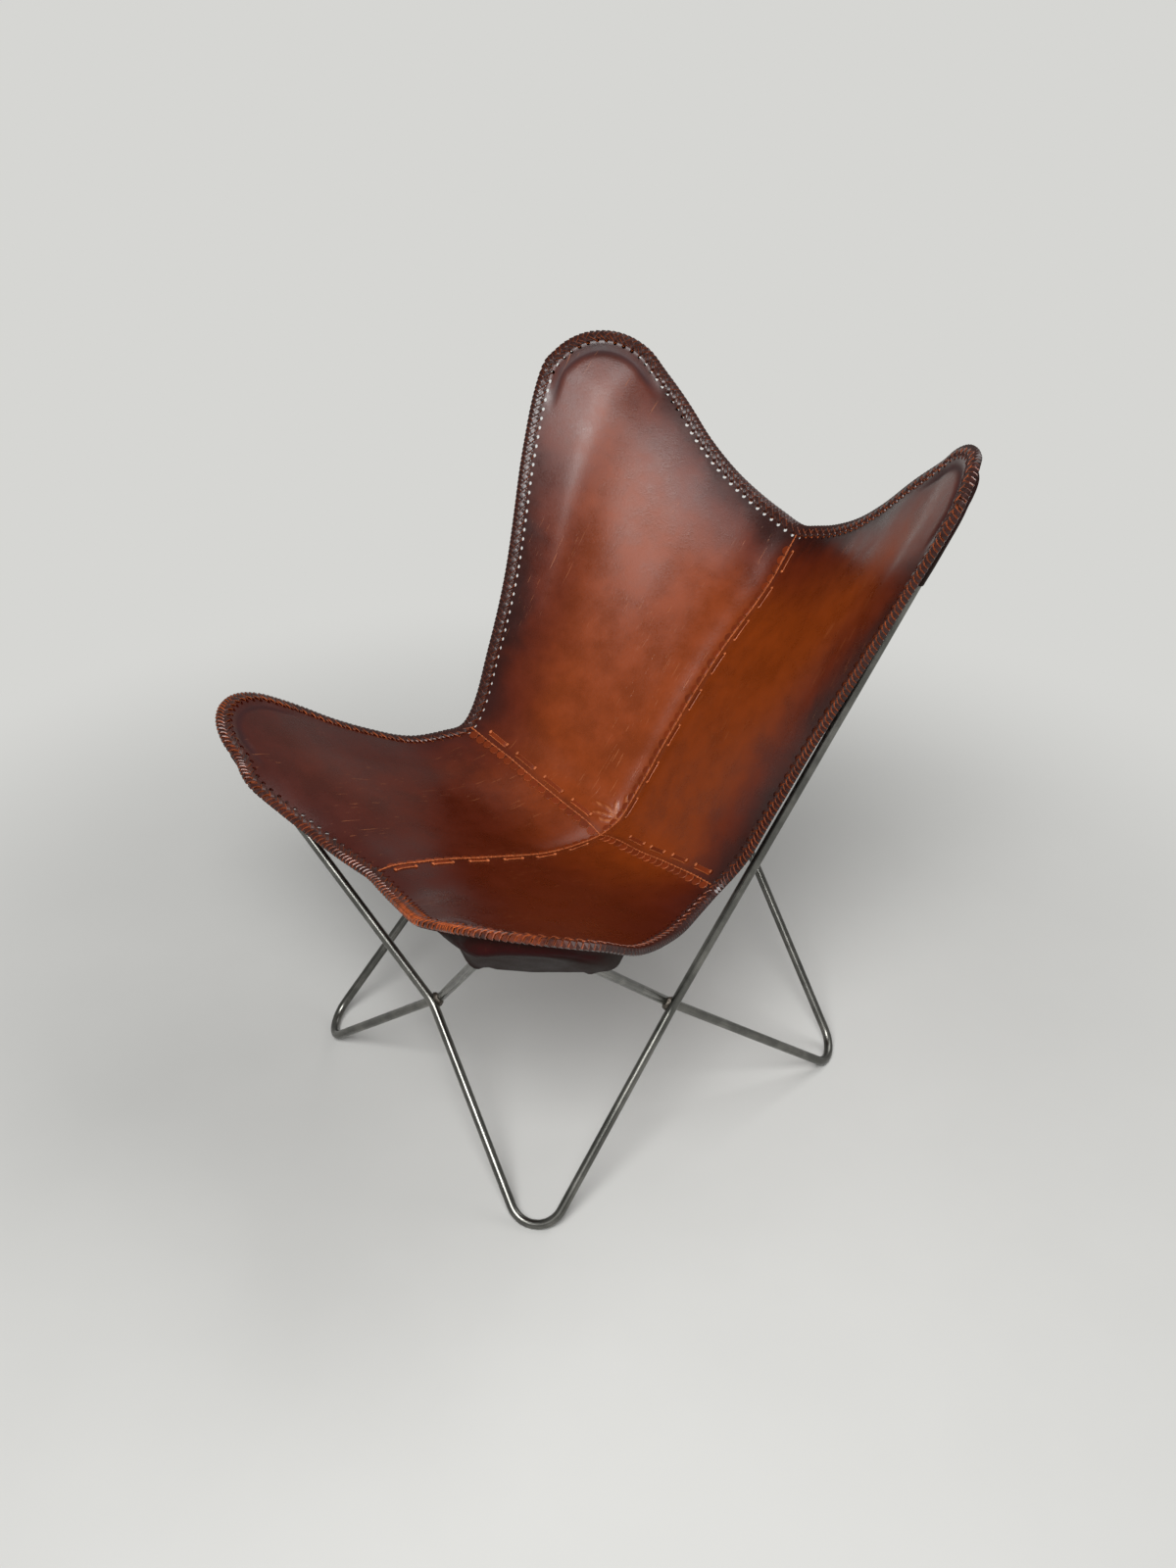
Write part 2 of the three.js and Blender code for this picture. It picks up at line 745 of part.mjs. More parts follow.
// The stations on the centre line and at the waist stand for two panels at once
function merged(first, second) {
  const point = first.point.clone().add(second.point).multiplyScalar(0.5);
  return { point, normal: first.normal.clone().add(second.normal).normalize() };
}

function centreStation(end) {
  const [left, right] = [grids[`${end}_left`], grids[`${end}_right`]];
  return merged(edgeStation(left, lastCell, 0), edgeStation(right, lastCell, 0));
}

function waistStation(side) {
  const [seat, back] = [grids[`front_${side}`], grids[`rear_${side}`]];
  return merged(edgeStation(seat, 0, lastCell), edgeStation(back, 0, lastCell));
}

// The first cell that a pocket reaches, along an edge of a panel
function pocketCell(flatShare, length) {
  const cellLength = (flatShare * length) / flatCells;
  return Math.floor((length - pocketEdgeLength) / cellLength);
}

const edgePocketCell = (name) => pocketCell(quarters[name].flatEdge, quarters[name].edgeLength);
const flankPocketCell = (name) => pocketCell(quarters[name].flatFlank, quarters[name].flankLength);

// The whole edge, walked round with the front first and the sitter's left next. A run named
// for a tip goes all round its pocket.
function braidRuns() {
  const runs = [];
  const edge = (name) => edgePocketCell(name);
  const flank = (name) => flankPocketCell(name);
  runs.push(['front_edge', [
    ...edgeRun('front_right', edge('front_right'), 1),
    centreStation('front'),
    ...edgeRun('front_left', 1, edge('front_left')),
  ]]);
  runs.push(['front_left_tip', [
    ...edgeRun('front_left', edge('front_left'), lastCell),
    ...flankRun('front_left', lastCell - 1, flank('front_left')),
  ]]);
  runs.push(['left_edge', [
    ...flankRun('front_left', flank('front_left'), 1),
    waistStation('left'),
    ...flankRun('rear_left', 1, flank('rear_left')),
  ]]);
  runs.push(['rear_left_tip', [
    ...flankRun('rear_left', flank('rear_left'), lastCell),
    ...edgeRun('rear_left', lastCell - 1, edge('rear_left')),
  ]]);
  runs.push(['back_edge', [
    ...edgeRun('rear_left', edge('rear_left'), 1),
    centreStation('rear'),
    ...edgeRun('rear_right', 1, edge('rear_right')),
  ]]);
  runs.push(['rear_right_tip', [
    ...edgeRun('rear_right', edge('rear_right'), lastCell),
    ...flankRun('rear_right', lastCell - 1, flank('rear_right')),
  ]]);
  runs.push(['right_edge', [
    ...flankRun('rear_right', flank('rear_right'), 1),
    waistStation('right'),
    ...flankRun('front_right', 1, flank('front_right')),
  ]]);
  runs.push(['front_right_tip', [
    ...flankRun('front_right', flank('front_right'), lastCell),
    ...edgeRun('front_right', lastCell - 1, edge('front_right')),
  ]]);
  return runs;
}

// Each station faces along the whole edge, so two runs meet square to one line
function faceAlong(runs) {
  runs.forEach(([, stations], k) => {
    const before = runs[(k + runs.length - 1) % runs.length][1];
    const after = runs[(k + 1) % runs.length][1];
    stations.forEach((station, i) => {
      const previous = i === 0 ? before[before.length - 2] : stations[i - 1];
      const next = i === stations.length - 1 ? after[1] : stations[i + 1];
      station.tangent = heading(previous.point, next.point);
    });
  });
  return runs;
}

// The braid wraps the leather's edge, and at the tips the pocket's edge as well
function braidSection(atTip) {
  const top = leatherThickness / 2 + braidLipGap;
  const under = top + (atTip ? pocketSeatGap + pocketThickness : 0);
  return [
    [-braidTopWidth, top],
    [braidGap, top],
    [braidGap, -under],
    [-braidUnderWidth, -under],
    [-braidUnderWidth, -under - braidThickness],
    [braidGap + braidThickness / 2, -under - braidThickness],
    [braidGap + braidThickness, -under],
    [braidGap + braidThickness, top],
    [braidGap + braidThickness / 2, top + braidThickness],
    [-braidTopWidth, top + braidThickness],
  ];
}

function sweptBody(stations, section) {
  const last = stations.length - 1;
  const size = section.length;
  const points = [];
  stations.forEach(({ point, normal, tangent }, i) => {
    const outward = tangent.clone().cross(normal).normalize();
    const face = outward.clone().cross(tangent).normalize();
    const trim = (i === 0 ? 1 : 0) - (i === last ? 1 : 0);
    const middle = along(point, tangent, (trim * jointGap) / 2);
    for (const [out, up] of section) points.push(along(along(middle, outward, out), face, up));
  });
  const faces = [];
  for (let i = 0; i < last; i++) {
    for (let k = 0; k < size; k++) {
      const a = i * size + k;
      const b = i * size + ((k + 1) % size);
      faces.push([a, b, b + size], [a, b + size, a + size]);
    }
  }
  const flat = section.map(([out, up]) => new THREE.Vector2(out, up));
  for (const [a, b, c] of THREE.ShapeUtils.triangulateShape(flat, [])) {
    faces.push([c, b, a], [a + last * size, b + last * size, c + last * size]);
  }
  return closedBody(points, faces);
}

function addBraids() {
  for (const [name, stations] of faceAlong(braidRuns())) {
    const section = braidSection(name.endsWith('tip'));
    addPiece(`${name}_braid`, sweptBody(stations, section), braidLeather());
  }
}

// A point on a panel's upper facets, at a row and column that need not be whole
function facetPoint(grid, row, column) {
  const r = Math.min(Math.floor(row), lastCell - 1);
  const c = Math.min(Math.floor(column), lastCell - 1);
  const near = grid.upper[r][c].clone().lerp(grid.upper[r][c + 1], column - c);
  const far = grid.upper[r + 1][c].clone().lerp(grid.upper[r + 1][c + 1], column - c);
  return near.lerp(far, row - r);
}

// A lapped strip over a seam: three points across, from one panel over to the other
function stripBody(marks) {
  const lift = (distance) => marks.map(({ points, face }) => (
    points.map((point) => along(point, face, distance))));
  return sheetBody(lift(seamStripGap), lift(seamStripGap + seamStripThickness));
}

const halfStrip = seamStripWidth / 2;

// Places along a seam: whole cells, ending short of the braid's lip at the outer end
function seamPlaces(points) {
  let left = braidTopWidth + seamStripGap;
  let cell = lastCell;
  while (left > points[cell].distanceTo(points[cell - 1])) {
    left -= points[cell].distanceTo(points[cell - 1]);
    cell -= 1;
  }
  const end = cell - left / points[cell].distanceTo(points[cell - 1]);
  return [...countTo(0, cell - 1), end];
}

// The way a seam faces, at a row and column of which one is whole
function seamFace(grid, row, column) {
  const near = heading(
    grid.lower[Math.floor(row)][Math.floor(column)], grid.upper[Math.floor(row)][Math.floor(column)],
  );
  const far = heading(
    grid.lower[Math.ceil(row)][Math.ceil(column)], grid.upper[Math.ceil(row)][Math.ceil(column)],
  );
  return near.lerp(far, row + column - Math.floor(row) - Math.floor(column)).normalize();
}

function addCentreStrip(end, name) {
  const left = grids[`${end}_left`];
  const right = grids[`${end}_right`];
  const rows = seamPlaces(left.upper.map((row) => row[0]));
  const marks = rows.map((row) => {
    const middle = facetPoint(left, row, 0);
    const share = halfStrip / middle.distanceTo(facetPoint(left, row, 1));
    middle.x = 0;
    const points = [facetPoint(right, row, share), middle, facetPoint(left, row, share)];
    return { points, face: seamFace(left, row, 0) };
  });
  addPiece(name, stripBody(marks), seamLeather());
}

function addCrossStrip(side) {
  const back = grids[`rear_${side}`];
  const seat = grids[`front_${side}`];
  const firstCell = back.upper[0][0].distanceTo(back.upper[0][1]);
  const start = (halfStrip + crossStripSetback) / firstCell;
  const columns = [start, ...seamPlaces(back.upper[0]).slice(1)];
  const marks = columns.map((column) => {
    const backMiddle = facetPoint(back, 0, column);
    const seatMiddle = facetPoint(seat, 0, column);
    const backShare = halfStrip / backMiddle.distanceTo(facetPoint(back, 1, column));
    const seatShare = halfStrip / seatMiddle.distanceTo(facetPoint(seat, 1, column));
    const middle = backMiddle.add(seatMiddle).multiplyScalar(0.5);
    const points = [facetPoint(back, backShare, column), middle, facetPoint(seat, seatShare, column)];
    return { points, face: seamFace(back, 0, column) };
  });
  addPiece(`${side}_cross_seam_strip`, stripBody(marks), seamLeather());
}

function addSeamStrips() {
  addCentreStrip('rear', 'back_seam_strip');
  addCentreStrip('front', 'seat_seam_strip');
  addCrossStrip('left');
  addCrossStrip('right');
}

addLegs();
addHornBends();
addFootBends();
addWelds();
addPanels();
addPockets();
addBraids();
addSeamStrips();

// The origin is on the floor under the middle of the whole chair
chair.updateMatrixWorld(true);
const reach = new THREE.Box3().setFromObject(chair);
const middle = reach.getCenter(at(0, 0, 0));
chair.position.set(-middle.x, -middle.y, 0);

export default chair;
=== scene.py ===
# %% [markdown]
# # A butterfly sling chair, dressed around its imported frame
# The CAD model gives every piece its place and size. This script reads it as a fixed frame and
# makes what the eye wants: smooth drawn rod, leather with real punched holes, braided thongs.
# Everything is in metres. +X is the sitter's left, -Y the front and +Z up.

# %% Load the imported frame
import bisect
import math
import random

import bmesh
import bpy
from mathutils import Matrix, Vector, noise
from mathutils.bvhtree import BVHTree
from mathutils.geometry import intersect_line_line, intersect_point_line
from mathutils.kdtree import KDTree


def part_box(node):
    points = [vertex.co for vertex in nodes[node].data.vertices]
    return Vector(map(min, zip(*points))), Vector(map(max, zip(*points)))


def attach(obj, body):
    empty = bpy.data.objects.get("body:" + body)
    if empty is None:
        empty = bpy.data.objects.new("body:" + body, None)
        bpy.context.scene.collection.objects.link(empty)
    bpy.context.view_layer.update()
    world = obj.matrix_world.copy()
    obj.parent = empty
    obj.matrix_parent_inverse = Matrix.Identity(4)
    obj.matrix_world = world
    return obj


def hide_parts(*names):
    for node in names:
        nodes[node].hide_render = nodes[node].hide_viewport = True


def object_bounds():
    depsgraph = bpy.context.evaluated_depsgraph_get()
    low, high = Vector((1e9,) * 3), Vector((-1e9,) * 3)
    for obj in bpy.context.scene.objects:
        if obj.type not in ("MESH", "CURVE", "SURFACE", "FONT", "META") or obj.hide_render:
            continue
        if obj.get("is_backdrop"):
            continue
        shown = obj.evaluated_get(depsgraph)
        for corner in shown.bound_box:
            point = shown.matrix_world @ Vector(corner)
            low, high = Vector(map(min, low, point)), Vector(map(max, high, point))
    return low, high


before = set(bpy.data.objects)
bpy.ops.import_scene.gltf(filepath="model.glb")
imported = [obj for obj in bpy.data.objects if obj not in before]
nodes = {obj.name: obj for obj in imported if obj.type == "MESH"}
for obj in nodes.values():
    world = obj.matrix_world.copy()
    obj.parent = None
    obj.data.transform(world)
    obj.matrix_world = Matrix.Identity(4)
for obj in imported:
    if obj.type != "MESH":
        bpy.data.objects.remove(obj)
cad_low, cad_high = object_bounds()
print("CAD box", [round(v, 4) for v in cad_low], [round(v, 4) for v in cad_high])

# %% [markdown]
# ## The camera
# The photograph was taken from the sitter's front left, at standing height. The camera could be
# placed by eye, but the view was solved from the feet and the rods, so its place and its turn
# are set as numbers. The lens is for a sensor of 36 mm along the picture's long side.

# %% Place the camera
VIEW_FROM = Vector((1.34139, -1.06572, 1.42889))
VIEW_TURN, VIEW_DOWN, VIEW_ROLL = (math.radians(a) for a in (51.36, 30.39, 0.23))
LENS = 35.43

ahead = Vector((-math.sin(VIEW_TURN) * math.cos(VIEW_DOWN),
                math.cos(VIEW_TURN) * math.cos(VIEW_DOWN), -math.sin(VIEW_DOWN)))
level = Vector((math.cos(VIEW_TURN), math.sin(VIEW_TURN), 0.0))
upward = level.cross(ahead)
right = math.cos(VIEW_ROLL) * level + math.sin(VIEW_ROLL) * upward
top = math.cos(VIEW_ROLL) * upward - math.sin(VIEW_ROLL) * level

camera = bpy.data.objects.new("camera", bpy.data.cameras.new("camera"))
camera.data.lens = LENS
camera.data.sensor_width = 36.0
turned = Matrix((right, top, -ahead)).transposed().to_4x4()
camera.matrix_world = Matrix.Translation(VIEW_FROM) @ turned
bpy.context.scene.collection.objects.link(camera)
bpy.context.scene.camera = camera

# %% [markdown]
# ## Helpers for copies of the CAD meshes
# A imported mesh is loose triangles. A copy is merged first, and its faces then fall into smooth
# sides, parted by sharp edges: the two faces of a leather panel and the rim between them.

# %% Merge a node, and find its sides
MERGE = 1e-5
SIDE_TURN = math.radians(55)


def merged(node):
    """A bmesh copy of a CAD node with its loose triangles joined"""
    bm = bmesh.new()
    bm.from_mesh(nodes[node].data)
    bmesh.ops.remove_doubles(bm, verts=bm.verts, dist=MERGE)
    bm.normal_update()
    return bm


def sides(bm):
    """Groups of faces that meet at gentle angles, the largest first"""
    groups, seen = [], set()
    for start in bm.faces:
        if start in seen:
            continue
        seen.add(start)
        group = [start]
        for face in group:
            for edge in face.edges:
                for other in edge.link_faces:
                    if other not in seen and edge.calc_face_angle(0.0) < SIDE_TURN:
                        seen.add(other)
                        group.append(other)
        groups.append(group)
    return sorted(groups, key=len, reverse=True)


def one_side(node, score):
    """Only the wide side of a sheet that scores higher, as a grid of four-sided faces"""
    bm = merged(node)
    kept = set(max(sides(bm)[:2], key=score))
    bmesh.ops.delete(bm, geom=[f for f in bm.faces if f not in kept], context="FACES")
    bmesh.ops.join_triangles(bm, faces=bm.faces[:], angle_face_threshold=math.pi,
                             angle_shape_threshold=math.pi, topology_influence=1.3)
    return bm


def facing_up(faces):
    return sum(f.normal.z * f.calc_area() for f in faces)


def made(name, bm, slot=None, replaces=(), sharp=None):
    """Put a bmesh in the scene: with a slot, as a piece of the one body"""
    mesh = bpy.data.meshes.new(name)
    bm.to_mesh(mesh)
    bm.free()
    if sharp:
        mesh.shade_smooth()
        mesh.set_sharp_from_angle(angle=math.radians(sharp))
    piece = bpy.data.objects.new(name, mesh)
    bpy.context.scene.collection.objects.link(piece)
    if slot:
        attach(piece, "root")
    if replaces:
        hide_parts(*replaces)
    return piece


def modified(piece, name, kind, **settings):
    modifier = piece.modifiers.new(name, kind)
    for key, value in settings.items():
        setattr(modifier, key, value)


def applied(piece):
    """The mesh of a piece with its modifiers applied, which are then taken off it"""
    graph = bpy.context.evaluated_depsgraph_get()
    graph.update()
    mesh = bpy.data.meshes.new_from_object(piece.evaluated_get(graph))
    piece.modifiers.clear()
    return mesh


def eased_in(value, low, high):
    """0 below low, 1 above high, and a soft rise between them"""
    share = min(1.0, max(0.0, (value - low) / (high - low)))
    return share * share * (3 - 2 * share)


def walk(first, second, stop):
    """Boundary vertices in order from the first one, until one passes the stop test"""
    run = [first, second]
    while not stop(run[-1]):
        run.append(next(v for e in run[-1].link_edges if e.is_boundary
                        for v in e.verts if v != run[-1] and v != run[-2]))
    return run

# %% [markdown]
# ## The sling's skin
# The real sling is four cut panels, sewn at a centre seam and a cross seam. Each could be
# smoothed alone, but then their edges would kink at the seams. So the four upper skins are
# sewn into one cage first, subdivided together, and cut apart again at the end. The cage is
# pushed out a little, because subdivision pulls a surface inside the points that shape it.

# %% Sew the four upper skins together
PANELS = ["back_panel_left", "back_panel_right", "seat_panel_left", "seat_panel_right"]
MIRROR_X = sum(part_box(n)[i].x for n in PANELS[:2] for i in (0, 1)) / 4


def seam_runs(bm):
    """Indices along the centre seam and along the cross seam, both from where they meet"""
    corners = [v for v in bm.verts if len(v.link_faces) == 1]
    meeting = min(corners, key=lambda v: v.co.z + abs(v.co.x - MIRROR_X) + abs(v.co.y))
    starts = [e.other_vert(meeting) for e in meeting.link_edges if e.is_boundary]
    runs = [walk(meeting, v, lambda w: len(w.link_faces) == 1) for v in starts]
    runs.sort(key=lambda run: abs(run[-1].co.x - MIRROR_X))
    return [[v.index for v in run] for run in runs]


sewn, runs = bmesh.new(), []
scratch = bpy.data.meshes.new("scratch")
for number, node in enumerate(PANELS):
    skin = one_side(node, facing_up)
    skin.verts.index_update()
    runs.append([[i + len(sewn.verts) for i in run] for run in seam_runs(skin)])
    for face in skin.faces:
        face.material_index = number
    skin.to_mesh(scratch)
    sewn.from_mesh(scratch)
    skin.free()
sewn.verts.ensure_lookup_table()
for a, b, kind in ((0, 1, 0), (2, 3, 0), (0, 2, 1), (1, 3, 1)):
    for i, j in zip(runs[a][kind], runs[b][kind]):
        middle = (sewn.verts[i].co + sewn.verts[j].co) / 2
        sewn.verts[i].co = sewn.verts[j].co = middle
hub = sum((sewn.verts[run[0][0]].co for run in runs), Vector()) / 4
for run in runs:
    sewn.verts[run[0][0]].co = hub
bmesh.ops.remove_doubles(sewn, verts=sewn.verts, dist=MERGE)
print("sewn cage", len(sewn.verts), "points,", sum(e.is_boundary for e in sewn.edges), "on the rim")

# %% Subdivide the sewn cage
SKIN_LEVELS = 3
CAGE_ROUNDS = 4


def subdivided(piece, levels):
    modified(piece, "smooth", "SUBSURF", levels=levels, render_levels=levels,
             boundary_smooth="ALL")
    return applied(piece)


cage = made("cage", sewn)
targets = [v.co.copy() for v in cage.data.vertices]
for _ in range(CAGE_ROUNDS):
    reached = subdivided(cage, 1)
    misses = [wanted - v.co for wanted, v in zip(targets, reached.vertices)]
    for vertex, miss in zip(cage.data.vertices, misses):
        vertex.co += miss
skin_mesh = subdivided(cage, SKIN_LEVELS)
bpy.data.objects.remove(cage)
print("skin", len(skin_mesh.polygons), "faces, furthest miss",
      round(max(m.length for m in misses), 4))

# %% [markdown]
# ## What hangs does to leather
# Thick leather over a rod keeps a soft ridge above it, and between the rods it never lies quite
# even. A cloth simulation would find both, but slowly and a little differently each time it is
# tuned. Here each point is lifted along its normal by two plain formulas instead.

# %% Lift the skin over the rods, and let it sway a little
LEATHER = 0.0036
RIDGE_INSET, RIDGE_LIFT, RIDGE_REACH = 0.0125, 0.0026, 0.0062
FOLD_INSET, FOLD_REACH, FOLD_DEPTH = 0.0262, 0.0050, 0.0012
TIP_FROM, TIP_TO = 0.060, 0.022
SWAY, SWAY_SCALE = 0.0009, 9.0


def distance_tree(points):
    """A tree that finds the nearest of some points"""
    tree = KDTree(len(points))
    for i, point in enumerate(points):
        tree.insert(point, i)
    tree.balance()
    return tree


def bell(value, middle, reach):
    return math.exp(-((value - middle) / reach) ** 2)


bends = bmesh.new()
for node in nodes:
    if node.endswith("_horn_bend"):
        bends.from_mesh(nodes[node].data)
bend_tree = BVHTree.FromBMesh(bends)
bends.free()
uses = {}
for polygon in skin_mesh.polygons:
    for key in polygon.edge_keys:
        uses[key] = uses.get(key, 0) + 1
rim_points = {i for key, count in uses.items() if count == 1 for i in key}
rim_tree = distance_tree([skin_mesh.vertices[i].co for i in rim_points])
folds, lifts = [], []
for vertex in skin_mesh.vertices:
    bend_away = bend_tree.find_nearest(vertex.co, TIP_FROM)[3]
    near_tip = 0.0 if bend_away is None else 1 - eased_in(bend_away, TIP_TO, TIP_FROM)
    inset = rim_tree.find(vertex.co)[2]
    folds.append(near_tip * bell(inset, FOLD_INSET, FOLD_REACH))
    lifts.append(near_tip * bell(inset, RIDGE_INSET, RIDGE_REACH) * RIDGE_LIFT
                 - folds[-1] * FOLD_DEPTH + SWAY * noise.noise(vertex.co * SWAY_SCALE))
normals = [v.normal.copy() for v in skin_mesh.vertices]
for vertex, normal, lift in zip(skin_mesh.vertices, normals, lifts):
    vertex.co += normal * lift
print("points in a fold", sum(f > 0.5 for f in folds))

# %% [markdown]
# ## A ruler along the edge and along each seam
# Everything sewn to the sling follows its edge or a seam. So each of these lines becomes a
# ruler: at any length along it, it gives a point, the way along, the way aside and the way up.

# %% Make the rulers
class Ruler:
    """Places along a line of the skin, by length"""

    def __init__(self, verts, closed):
        verts = verts + verts[:1] if closed else verts
        self.closed, last = closed, len(verts) - 1
        self.points, self.ups = [v.co.copy() for v in verts], [v.normal.copy() for v in verts]
        self.alongs = [(self.points[min(i + 1, last)] - self.points[max(i - 1, 0)]).normalized()
                       for i in range(last + 1)]
        if closed:
            self.alongs[-1] = self.alongs[0]
        self.at = [0.0]
        for a, b in zip(self.points, self.points[1:]):
            self.at.append(self.at[-1] + (b - a).length)
        self.length = self.at[-1]

    def frame(self, length):
        """Point, along, aside and up at a length"""
        length = length % self.length if self.closed else min(max(length, 0.0), self.length)
        low = min(bisect.bisect_right(self.at, length), len(self.at) - 1) - 1
        share = (length - self.at[low]) / (self.at[low + 1] - self.at[low])
        point, along, up = (row[low].lerp(row[low + 1], share)
                            for row in (self.points, self.alongs, self.ups))
        along.normalize()
        up = (up - along * up.dot(along)).normalized()
        return point, along, along.cross(up), up


skin_bm = bmesh.new()
skin_bm.from_mesh(skin_mesh)
skin_bm.normal_update()
skin_bm.verts.ensure_lookup_table()
skin_tree = BVHTree.FromBMesh(skin_bm)
start = min((v for v in skin_bm.verts if v.is_boundary and v.co.x < MIRROR_X),
            key=lambda v: (v.co.x - MIRROR_X) ** 2 + (v.co.y - cad_high.y) ** 2)
second = next(v for e in start.link_edges if e.is_boundary for v in e.verts if v != start)
rim = walk(start, second, lambda v: v == start)[:-1]
edge = Ruler(rim, True)
beside = rim[0].link_faces
inner = sum((f.calc_center_median() for f in beside), Vector()) / len(beside)
if (inner - rim[0].co).dot(edge.frame(0.0)[2]) > 0:
    edge = Ruler([rim[0]] + rim[:0:-1], True)
print("edge of the sling", round(edge.length, 3), "m")


def seam_ruler(first, second):
    """From the hub to the edge, between two panels"""
    run = [skin_hub]
    while True:
        following = [e.other_vert(run[-1]) for e in run[-1].link_edges
                     if {f.material_index for f in e.link_faces} == {first, second}]
        following = [v for v in following if v not in run[-2:]]
        if not following:
            return Ruler(run, False)
        run.append(following[0])


skin_hub = max(skin_bm.verts, key=lambda v: len({f.material_index for f in v.link_faces}))
seams = {"back_seam_strip": seam_ruler(0, 1), "seat_seam_strip": seam_ruler(2, 3),
         "left_cross_seam_strip": seam_ruler(0, 2), "right_cross_seam_strip": seam_ruler(1, 3)}
for name, ruler in seams.items():
    print(name, round(ruler.length, 3), "m")

# %% [markdown]
# ## Punched holes
# The lacer punches one row of round holes, a fixed step apart, all round the edge. The holes
# are real: light shows through them. A bump could only fake that, so a Boolean modifier cuts
# one plug for each hole out of the leather. The step is kept on the holes' own line.

# %% Space the holes
HOLE_INSET = 0.0145
HOLE_STEP = 0.0129
HOLE_RADIUS = 0.0028


def on_skin(point):
    """The nearest place on the skin, and the normal there"""
    place, normal, _, _ = skin_tree.find_nearest(point)
    return place, normal


def hole_place(length):
    point, _, out, _ = edge.frame(length)
    return on_skin(point - out * HOLE_INSET)


FINE_STEP = 0.002
samples = [hole_place(i * FINE_STEP)[0] for i in range(int(edge.length / FINE_STEP) + 1)]
hole_line = [0.0]
for a, b in zip(samples, samples[1:] + samples[:1]):
    hole_line.append(hole_line[-1] + (b - a).length)
hole_count = round(hole_line[-1] / HOLE_STEP)
step = hole_line[-1] / hole_count
holes, index = [], 0
for number in range(hole_count):
    wanted = (number + 0.5) * step
    while hole_line[index + 1] < wanted:
        index += 1
    share = (wanted - hole_line[index]) / (hole_line[index + 1] - hole_line[index])
    holes.append((index + share) * FINE_STEP)
print(hole_count, "holes,", round(step * 1000, 2), "mm apart on their own line")

# %% Make the plugs that punch them
PLUG_SIDES, PLUG_LENGTH = 12, 0.016


def plug_row(name, radius):
    """One round plug for each hole"""
    plugs = bmesh.new()
    for length in holes:
        place, normal = hole_place(length)
        turn = normal.to_track_quat("Z", "Y").to_matrix().to_4x4()
        bmesh.ops.create_cone(plugs, cap_ends=True, segments=PLUG_SIDES, radius1=radius,
                              radius2=radius, depth=PLUG_LENGTH,
                              matrix=Matrix.Translation(place) @ turn)
    return made(name, plugs)


plug_piece = plug_row("plugs", HOLE_RADIUS)

# %% [markdown]
# ## Where the leather is dark, folded or creased
# The finish needs to know how far each point is from the edge, from a seam, from a fold and
# from the creases where the four seams pull. Painting maps by hand would do, but the distances
# follow the shape by themselves, so they are written on the points as attributes.

# %% Measure the distances
rim_tree = distance_tree([v.co for v in rim])
seam_tree = distance_tree([p for ruler in seams.values() for p in ruler.points])
point_tree = distance_tree([v.co for v in skin_bm.verts])
PUCKER_FROM, PUCKER_POINTS = 0.036, 60
PUCKERS = [(48, -6, 5), (21, 16, -4), (37, -19, 4), (25, -21, -3), (12, 30, 3)]


def pucker_points():
    """Points along the creases that fan out from where the four seams pull on the leather"""
    point, along, out, _ = seams["back_seam_strip"].frame(PUCKER_FROM)
    points = []
    for across, up_seam, bow in PUCKERS:
        for k in range(PUCKER_POINTS):
            share = k / PUCKER_POINTS
            bulge = bow * math.sin(math.pi * share)
            way = -out * (across * share - bulge * 0.3) + along * (up_seam * share + bulge)
            points.append(on_skin(point + way / 1000)[0])
    return points


pucker_tree = distance_tree(pucker_points())
DISTANCES = {
    "from_edge": lambda co: rim_tree.find(co)[2],
    "from_seam": lambda co: seam_tree.find(co)[2],
    "fold": lambda co: folds[point_tree.find(co)[1]],
    "from_pucker": lambda co: pucker_tree.find(co)[2],
}


def write_distances(mesh):
    """Float attributes that the leather's finish reads"""
    for name, distance in DISTANCES.items():
        values = [distance(v.co) for v in mesh.vertices]
        mesh.attributes.new(name, "FLOAT", "POINT").data.foreach_set("value", values)


print("crease points", len(PUCKERS) * PUCKER_POINTS)

# %% [markdown]
# ## The four leather panels
# The skin is cut apart along its seams again. Solidify gives each panel its 3.6 mm on the
# underside, and the plugs are taken out of it.

# %% Cut the panels apart and punch them
def punched(piece, plugs):
    """Punch the holes in a thick piece of leather, and write its distances"""
    modified(piece, "punch", "BOOLEAN", object=plugs, operation="DIFFERENCE", solver="MANIFOLD")
    piece.data = applied(piece)
    piece.data.shade_smooth()
    write_distances(piece.data)
    print(piece.name, len(piece.data.polygons), "faces")
    return piece


def leather_panel(number, node):
    bm = skin_bm.copy()
    bmesh.ops.delete(bm, geom=[f for f in bm.faces if f.material_index != number], context="FACES")
    for face in bm.faces:
        face.material_index = 0
    piece = made(node + "_leather", bm, "sling_leather", [node])
    modified(piece, "thick", "SOLIDIFY", thickness=LEATHER, offset=-1.0)
    punched(piece, plug_piece).data.set_sharp_from_angle(angle=math.radians(40))
    return piece


panels = [leather_panel(number, node) for number, node in enumerate(PANELS)]

# %% [markdown]
# ## One strand of thong
# The edge is bound with flat thong, about 6 mm wide, plaited over itself. Sweeping one thong
# 20 m long through all its crossings would work, but one plait step is the same as the next.
# So a short strand is modelled once, flat and straight, and copies are bent into their places.
# Its thin sides are marked as cut: there the undyed leather shows lighter than the face, and
# that light colour also stands for the glint the light catches on those edges, a painted highlight.

# %% Model a straight strand
SIDE_RISE, SHOULDER_RISE = 0.4, 0.95


def thong_bmesh():
    """A bmesh whose faces say where the thong is cut, and how light a strand is"""
    bm = bmesh.new()
    for name in ("cut", "shade"):
        bm.faces.layers.float.new(name)
    return bm


